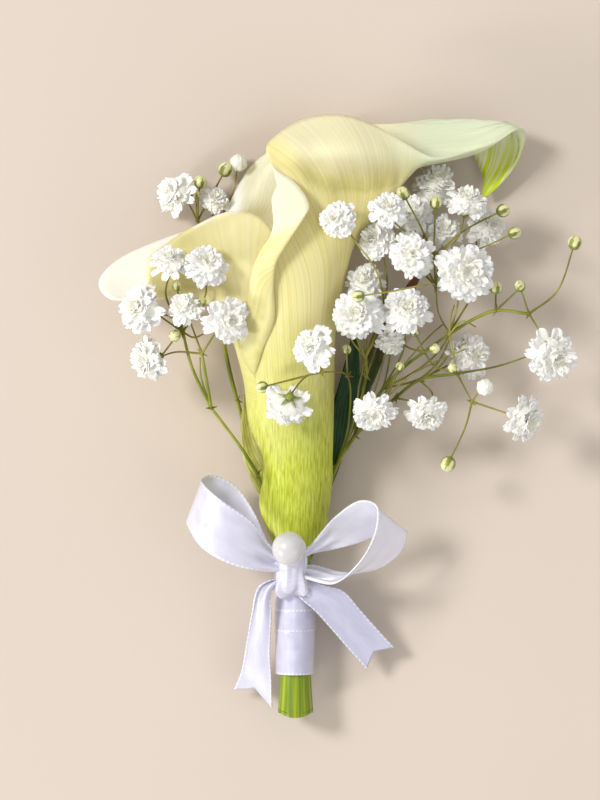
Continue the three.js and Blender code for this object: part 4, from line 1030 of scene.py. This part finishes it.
def make_pearl():
    shape = Shape()
    polar, angle = levels_and_angles(np.linspace(0.02, math.pi - 0.02, 48), 64)
    add_rings(shape, PEARL_CENTRE + PEARL_RADIUS * ball(polar, angle) * [1, 1, -1])
    shape.piece("pearl_bead", pearl_material(), "pearl_head", "pearl")
    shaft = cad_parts["pin_shaft"]
    shaft.data.materials.clear()
    shaft.data.materials.append(steel_material())


# Materials

# The colour sockets of a Mix node
MIX_A, MIX_B, MIX_RESULT = 6, 7, 2


def shade(red, green, blue):
    """A colour as a photograph gives it, 0 to 255, in Blender's linear values."""
    shares = [value / 255 for value in (red, green, blue)]
    return (*(s / 12.92 if s <= 0.04045 else ((s + 0.055) / 1.055) ** 2.4 for s in shares), 1.0)


class Finish:
    """A Principled material with a few short ways to add nodes to it."""

    def __init__(self, name, roughness, specular, **values):
        self.material = bpy.data.materials.new(name)
        self.material.use_nodes = True
        self.nodes = self.material.node_tree.nodes
        self.shader = self.nodes["Principled BSDF"]
        self.shader.inputs["Subsurface Radius"].default_value = (1.0, 1.0, 1.0)
        for word, value in {"roughness": roughness, "specular_ior_level": specular, **values}.items():
            self.feed(self.shader.inputs[word.replace("_", " ").title().replace("Ior", "IOR")], value)

    def feed(self, socket, value):
        if isinstance(value, bpy.types.NodeSocket):
            self.material.node_tree.links.new(value, socket)
        else:
            socket.default_value = value

    def add(self, kind, output, inputs, **settings):
        """A new node's output. Its inputs, by name or number, are given a value or linked."""
        node = self.nodes.new("ShaderNode" + kind)
        for name, value in settings.items():
            setattr(node, name, value)
        for name, value in inputs.items():
            self.feed(node.inputs[name], value)
        return node.outputs[output]

    def mark(self, name):
        return self.add("Attribute", "Fac", {}, attribute_name=name)

    def coordinates(self, scale, source="UV"):
        return self.add("Mapping", "Vector", {"Vector": self.add("TexCoord", source, {}), "Scale": scale})

    def part(self, axis, scale=(1, 1, 1)):
        """One of the surface's two coordinates."""
        return self.add("SeparateXYZ", axis, {0: self.coordinates(scale)})

    def noise(self, scale, source="UV", detail=3, distortion=0.0):
        inputs = {"Vector": self.coordinates(scale, source), "Scale": 1, "Detail": detail,
                  "Distortion": distortion}
        return self.add("TexNoise", "Fac", inputs)

    def grain(self, fineness, detail=3):
        """A noise that is as fine in all three directions."""
        return self.noise([fineness] * 3, "Object", detail)

    def wave(self, scale, distortion=0.0):
        inputs = {"Vector": self.coordinates(scale), "Scale": 1, "Distortion": distortion}
        return self.add("TexWave", "Fac", inputs, bands_direction="DIAGONAL")

    def ramp(self, value, *stops):
        """Colours, as three values from 0 to 255, or shares, by the value that each belongs to."""
        output = self.add("ValToRGB", "Color", {"Fac": value})
        elements = output.node.color_ramp.elements
        while len(elements) < len(stops):
            elements.new(0.5)
        for element, (position, colour) in zip(elements, stops):
            element.position = position
            element.color = shade(*colour) if isinstance(colour, tuple) else (colour, colour, colour, 1)
        return output

    def two(self, value, low, high):
        """A ramp between two colours or shares, over the middle of a pattern's values."""
        return self.ramp(value, (0.3, low), (0.7, high))

    def math(self, operation, first, second):
        return self.add("Math", "Value", {0: first, 1: second}, operation=operation, use_clamp=True)

    def mix(self, share, first, second):
        return self.add("Mix", MIX_RESULT, {0: share, MIX_A: first, MIX_B: second}, data_type="RGBA")

    def paint(self, colour):
        self.feed(self.shader.inputs["Base Color"], colour)

    def rough(self, value, low, high):
        output = self.add("MapRange", "Result", {"Value": value, "To Min": low, "To Max": high})
        self.feed(self.shader.inputs["Roughness"], output)

    def bump(self, height, distance, strength):
        output = self.add("Bump", "Normal", {"Height": height, "Distance": distance, "Strength": strength})
        self.feed(self.shader.inputs["Normal"], output)

    def let_light_through(self, colour, share):
        """Thin petals glow with the light that falls on their other side."""
        translucent = self.add("BsdfTranslucent", "BSDF", {"Color": colour})
        both = self.add("MixShader", "Shader", {0: share, 1: self.shader.outputs["BSDF"], 2: translucent})
        self.feed(self.nodes["Material Output"].inputs["Surface"], both)


@functools.cache
def spathe_material():
    finish = Finish("spathe", 0.45, 0.28, subsurface_weight=0.25, subsurface_scale=0.003,
                    subsurface_radius=(1.0, 0.9, 0.5))
    veins = finish.noise((240, 0.9, 1), distortion=0.1)
    fibres = finish.noise((200, 24, 1), detail=4, distortion=0.35)
    blotches = finish.noise((9, 5, 1))
    outside = finish.ramp(veins, (0.3, (241, 231, 174)), (0.55, (234, 222, 154)), (0.75, (222, 208, 130)))
    inside = finish.ramp(veins, (0.3, (248, 244, 214)), (0.55, (245, 240, 204)), (0.78, (236, 229, 184)))
    is_inside = finish.math("MULTIPLY", finish.mark("side"), finish.mark("flared"))
    body = finish.mix(is_inside, outside, inside)
    places = (
        ("over", finish.ramp(veins, (0.3, (243, 237, 203)), (0.75, (230, 222, 172)))),
        # Painted shade right of the left lobe's roll
        ("hollow", finish.two(blotches, (204, 194, 136), (232, 225, 184))),
        # The pale inside left of the roll, with painted light
        ("lobe", shade(254, 252, 240)),
        # Painted shade along the crease
        ("throat", finish.two(veins, (216, 205, 138), (196, 182, 108))),
        ("band", finish.two(veins, (226, 232, 204), (214, 222, 188))),
    )
    for place_name, colour in places:
        body = finish.mix(finish.mark(place_name), body, colour)
    green = finish.ramp(fibres, (0.28, (214, 217, 110)), (0.5, (189, 198, 58)), (0.72, (142, 160, 26)))
    base = finish.math("MULTIPLY", finish.mark("base"), finish.two(blotches, 0.85, 1.15))
    body = finish.mix(base, body, green)
    bands = finish.noise((110, 1.2, 1), detail=1)
    stripes = finish.ramp(bands, (0.46, (255, 255, 206)), (0.54, (218, 244, 16)))
    stripes = finish.mix(finish.mark("end"), stripes, shade(206, 232, 24))
    tip = finish.math("MULTIPLY", finish.mark("tip"), finish.math("SUBTRACT", 1.0, finish.mark("side")))
    finish.paint(finish.mix(tip, body, stripes))
    finish.rough(fibres, 0.36, 0.5)
    finish.bump(finish.mix(0.5, veins, fibres), 0.0002, 0.5)
    return finish.material


@functools.cache
def bloom_material():
    finish = Finish("bloom_petal", 0.6, 0.2)
    petal = finish.ramp(finish.mark("reach"), (0.0, (244, 242, 206)), (0.3, (255, 255, 250)),
                        (1.0, (255, 255, 255)))
    centre = finish.math("MULTIPLY", finish.ramp(finish.mark("inner"), (0.7, 0.0), (1.0, 1.0)), 0.3)
    white = finish.mix(centre, petal, shade(250, 246, 206))
    finish.paint(white)
    finish.bump(finish.grain(900, 2), 0.0001, 0.3)
    finish.let_light_through(white, 0.1)
    return finish.material


# Each kind of stalk: its roughness, how fine its patches and its fibres are, and three colours
BARK = {
    "spray_trunk": (0.45, 90, 1200, (96, 108, 20), (130, 138, 40), (168, 168, 74)),
    "spray_twig": (0.5, 120, 1500, (94, 92, 26), (128, 124, 44), (172, 164, 84)),
}


@functools.cache
def bark_material(name):
    roughness, patches, fibres, dark, middle, light = BARK[name]
    finish = Finish(name, roughness, 0.4)
    finish.paint(finish.ramp(finish.grain(patches), (0.3, dark), (0.5, middle), (0.7, light)))
    finish.bump(finish.grain(fibres), 0.0001, 0.4)
    return finish.material


@functools.cache
def bud_material():
    finish = Finish("spray_bud", 0.42, 0.45, subsurface_weight=0.3, subsurface_scale=0.002)
    pale = finish.two(finish.grain(700), (208, 208, 142), (238, 234, 192))
    green = finish.two(finish.grain(400), (98, 110, 32), (150, 156, 70))
    finish.paint(finish.mix(finish.mark("sepal"), pale, green))
    finish.bump(finish.grain(900), 0.0001, 0.4)
    return finish.material


# Each leaf: its dark, its middle and its veins' colour, and its roughness
LEAF_COLOURS = {
    "leaf_dark": ((14, 52, 24), (30, 80, 38), (66, 108, 60), 0.34),
    "leaf_olive": ((160, 160, 72), (198, 194, 112), (216, 212, 146), 0.4),
    "leaf_russet": ((84, 40, 18), (122, 66, 34), (148, 104, 60), 0.5),
}


@functools.cache
def leaf_material(name):
    dark, middle, vein, roughness = LEAF_COLOURS[name]
    finish = Finish(name, roughness, 0.45)
    cells = finish.noise((3, 2.2, 1), detail=5)
    veins = finish.wave((2.2, 0.55, 0), distortion=1.0)
    colour = finish.two(cells, dark, middle)
    vein = shade(*vein)
    if name == "leaf_russet":
        green = finish.two(cells, (36, 56, 20), (78, 96, 40))
        towards_tip = finish.ramp(finish.part("Y", (1, 1 / LEAF_LENGTH, 1)), (0.7, 0.0), (0.8, 1.0))
        colour = finish.mix(towards_tip, green, colour)
        vein = finish.mix(0.5, colour, vein)
    finish.paint(finish.mix(finish.ramp(veins, (0.8, 0.0), (1.0, 0.28)), colour, vein))
    finish.rough(cells, roughness - 0.06, roughness + 0.1)
    finish.bump(veins, 0.0001, 0.5)
    return finish.material


@functools.cache
def stem_material():
    finish = Finish("stalk", 0.4, 0.45, subsurface_weight=0.15, subsurface_scale=0.003)
    streaks = finish.noise((22, 0.03, 1), detail=4, distortion=0.2)
    green = finish.ramp(streaks, (0.3, (82, 108, 6)), (0.5, (124, 146, 14)), (0.72, (174, 184, 48)))
    finish.paint(green)
    finish.bump(streaks, 0.0003, 0.5)
    return finish.material


@functools.cache
def spadix_material():
    finish = Finish("spadix", 0.6, 0.4)
    grain = finish.grain(700)
    finish.paint(finish.two(grain, (186, 146, 57), (221, 173, 69)))
    finish.bump(grain, 0.0002, 0.5)
    return finish.material


# Two colours for each copy of the satin. The light copy is painted light, the deep copy painted shade, and
# the middle one is the satin's own colour
SATIN_COLOURS = {
    "satin_painted_light": ((232, 231, 246), (243, 242, 253)),
    "satin_middle": ((214, 212, 234), (229, 227, 245)),
    "satin_painted_shade": ((196, 196, 223), (210, 210, 235)),
}


@functools.cache
def ribbon_material(name):
    finish = Finish(name, 0.3, 1.0, sheen_weight=0.2, sheen_roughness=0.35, anisotropic=0.6,
                    coat_weight=1.0, coat_roughness=0.18)
    threads = finish.wave((110, 0, 0))
    cross = finish.noise((3, 60, 1), detail=2)
    slubs = finish.noise((4, 1.5, 1), detail=2)
    cloth = finish.two(slubs, *SATIN_COLOURS[name])
    edge = finish.ramp(finish.part("X"), (0.0, 1.0), (0.035, 1.0), (0.06, 0.0), (0.94, 0.0), (0.965, 1.0),
                       (1.0, 1.0))
    stitches = finish.two(finish.wave((0, 5, 0)), 0.15, 0.8)
    finish.paint(finish.mix(finish.math("MULTIPLY", edge, stitches), cloth, shade(250, 250, 255)))
    finish.rough(slubs, 0.24, 0.36)
    finish.bump(finish.mix(0.5, finish.mix(0.5, threads, cross), edge), 0.0001, 0.4)
    finish.let_light_through(cloth, 0.07)
    return finish.material


@functools.cache
def pearl_material():
    finish = Finish("pearl", 0.22, 0.6, coat_weight=1.0, coat_roughness=0.2, sheen_weight=0.3,
                    subsurface_weight=0.2, subsurface_scale=0.003)
    lustre = finish.grain(220, 4)
    finish.paint(finish.two(lustre, (197, 196, 197), (216, 214, 214)))
    finish.rough(lustre, 0.16, 0.26)
    return finish.material


@functools.cache
def steel_material():
    finish = Finish("pin_steel", 0.25, 0.5, metallic=1.0)
    scratches = finish.noise((300, 4000, 300), "Object")
    finish.paint(finish.two(scratches, (178, 180, 184), (204, 206, 210)))
    finish.rough(scratches, 0.2, 0.34)
    return finish.material


@functools.cache
def floor_material():
    finish = Finish("floor", 0.85, 0.2)
    finish.paint(finish.two(finish.grain(8, 2), (209, 196, 183), (212, 199, 187)))
    return finish.material


# Floor, light and camera

CAMERA_HEIGHT = 1.22
LENS = 216
FLOOR_HALF = 3.0
FLOOR_DROP = 0.0002


def make_floor():
    mesh = bpy.data.meshes.new("floor")
    corners = [(x * FLOOR_HALF, y * FLOOR_HALF, 0) for x, y in ((-1, -1), (1, -1), (1, 1), (-1, 1))]
    mesh.from_pydata(corners, [], [(0, 1, 2, 3)])
    mesh.materials.append(floor_material())
    floor = put("floor", mesh)
    floor.location.z = -FLOOR_DROP


def make_light(name, place, size, power, colour=(1, 1, 1)):
    data = bpy.data.lights.new(name, "AREA")
    data.shape = "DISK"
    data.size = size
    data.energy = power
    data.color = colour
    light = put(name, data)
    light.location = place
    light.rotation_mode = "QUATERNION"
    light.rotation_quaternion = (-Vector(place)).to_track_quat("-Z", "Y")


def make_studio():
    make_light("key_light", (-1.5, 0.7, 1.9), 0.6, 36, (1.0, 0.985, 0.955))
    make_light("low_light", (-1.3, -0.8, 0.62), 0.36, 11)
    make_light("fill_light", (1.4, -0.8, 1.4), 1.6, 5)
    world = bpy.data.worlds.new("studio")
    world.use_nodes = True
    world.node_tree.nodes["Background"].inputs["Color"].default_value = (1.0, 0.99, 0.98, 1)
    world.node_tree.nodes["Background"].inputs["Strength"].default_value = 0.6
    bpy.context.scene.world = world
    bpy.context.scene.view_settings.view_transform = "Standard"


def make_camera():
    data = bpy.data.cameras.new("camera")
    data.lens = LENS
    data.sensor_width = 36
    data.clip_start = 0.05
    data.clip_end = 20
    camera = put("camera", data)
    camera.location = (SHIFT[0], SHIFT[1], CAMERA_HEIGHT)
    bpy.context.scene.camera = camera


make_camera()
make_studio()
make_floor()
make_spathe()
make_calla_stem()
make_spadix()
for leaf_name, leaf in LEAVES.items():
    make_leaf(leaf_name, *leaf)
for bloom_name in BLOOMS:
    make_bloom(bloom_name)
for spray_side in SPRAYS:
    make_spray(spray_side)
make_wrap()
make_knot()
for ribbon_name, ribbon in RIBBONS.items():
    make_ribbon(ribbon_name, ribbon)
make_pearl()
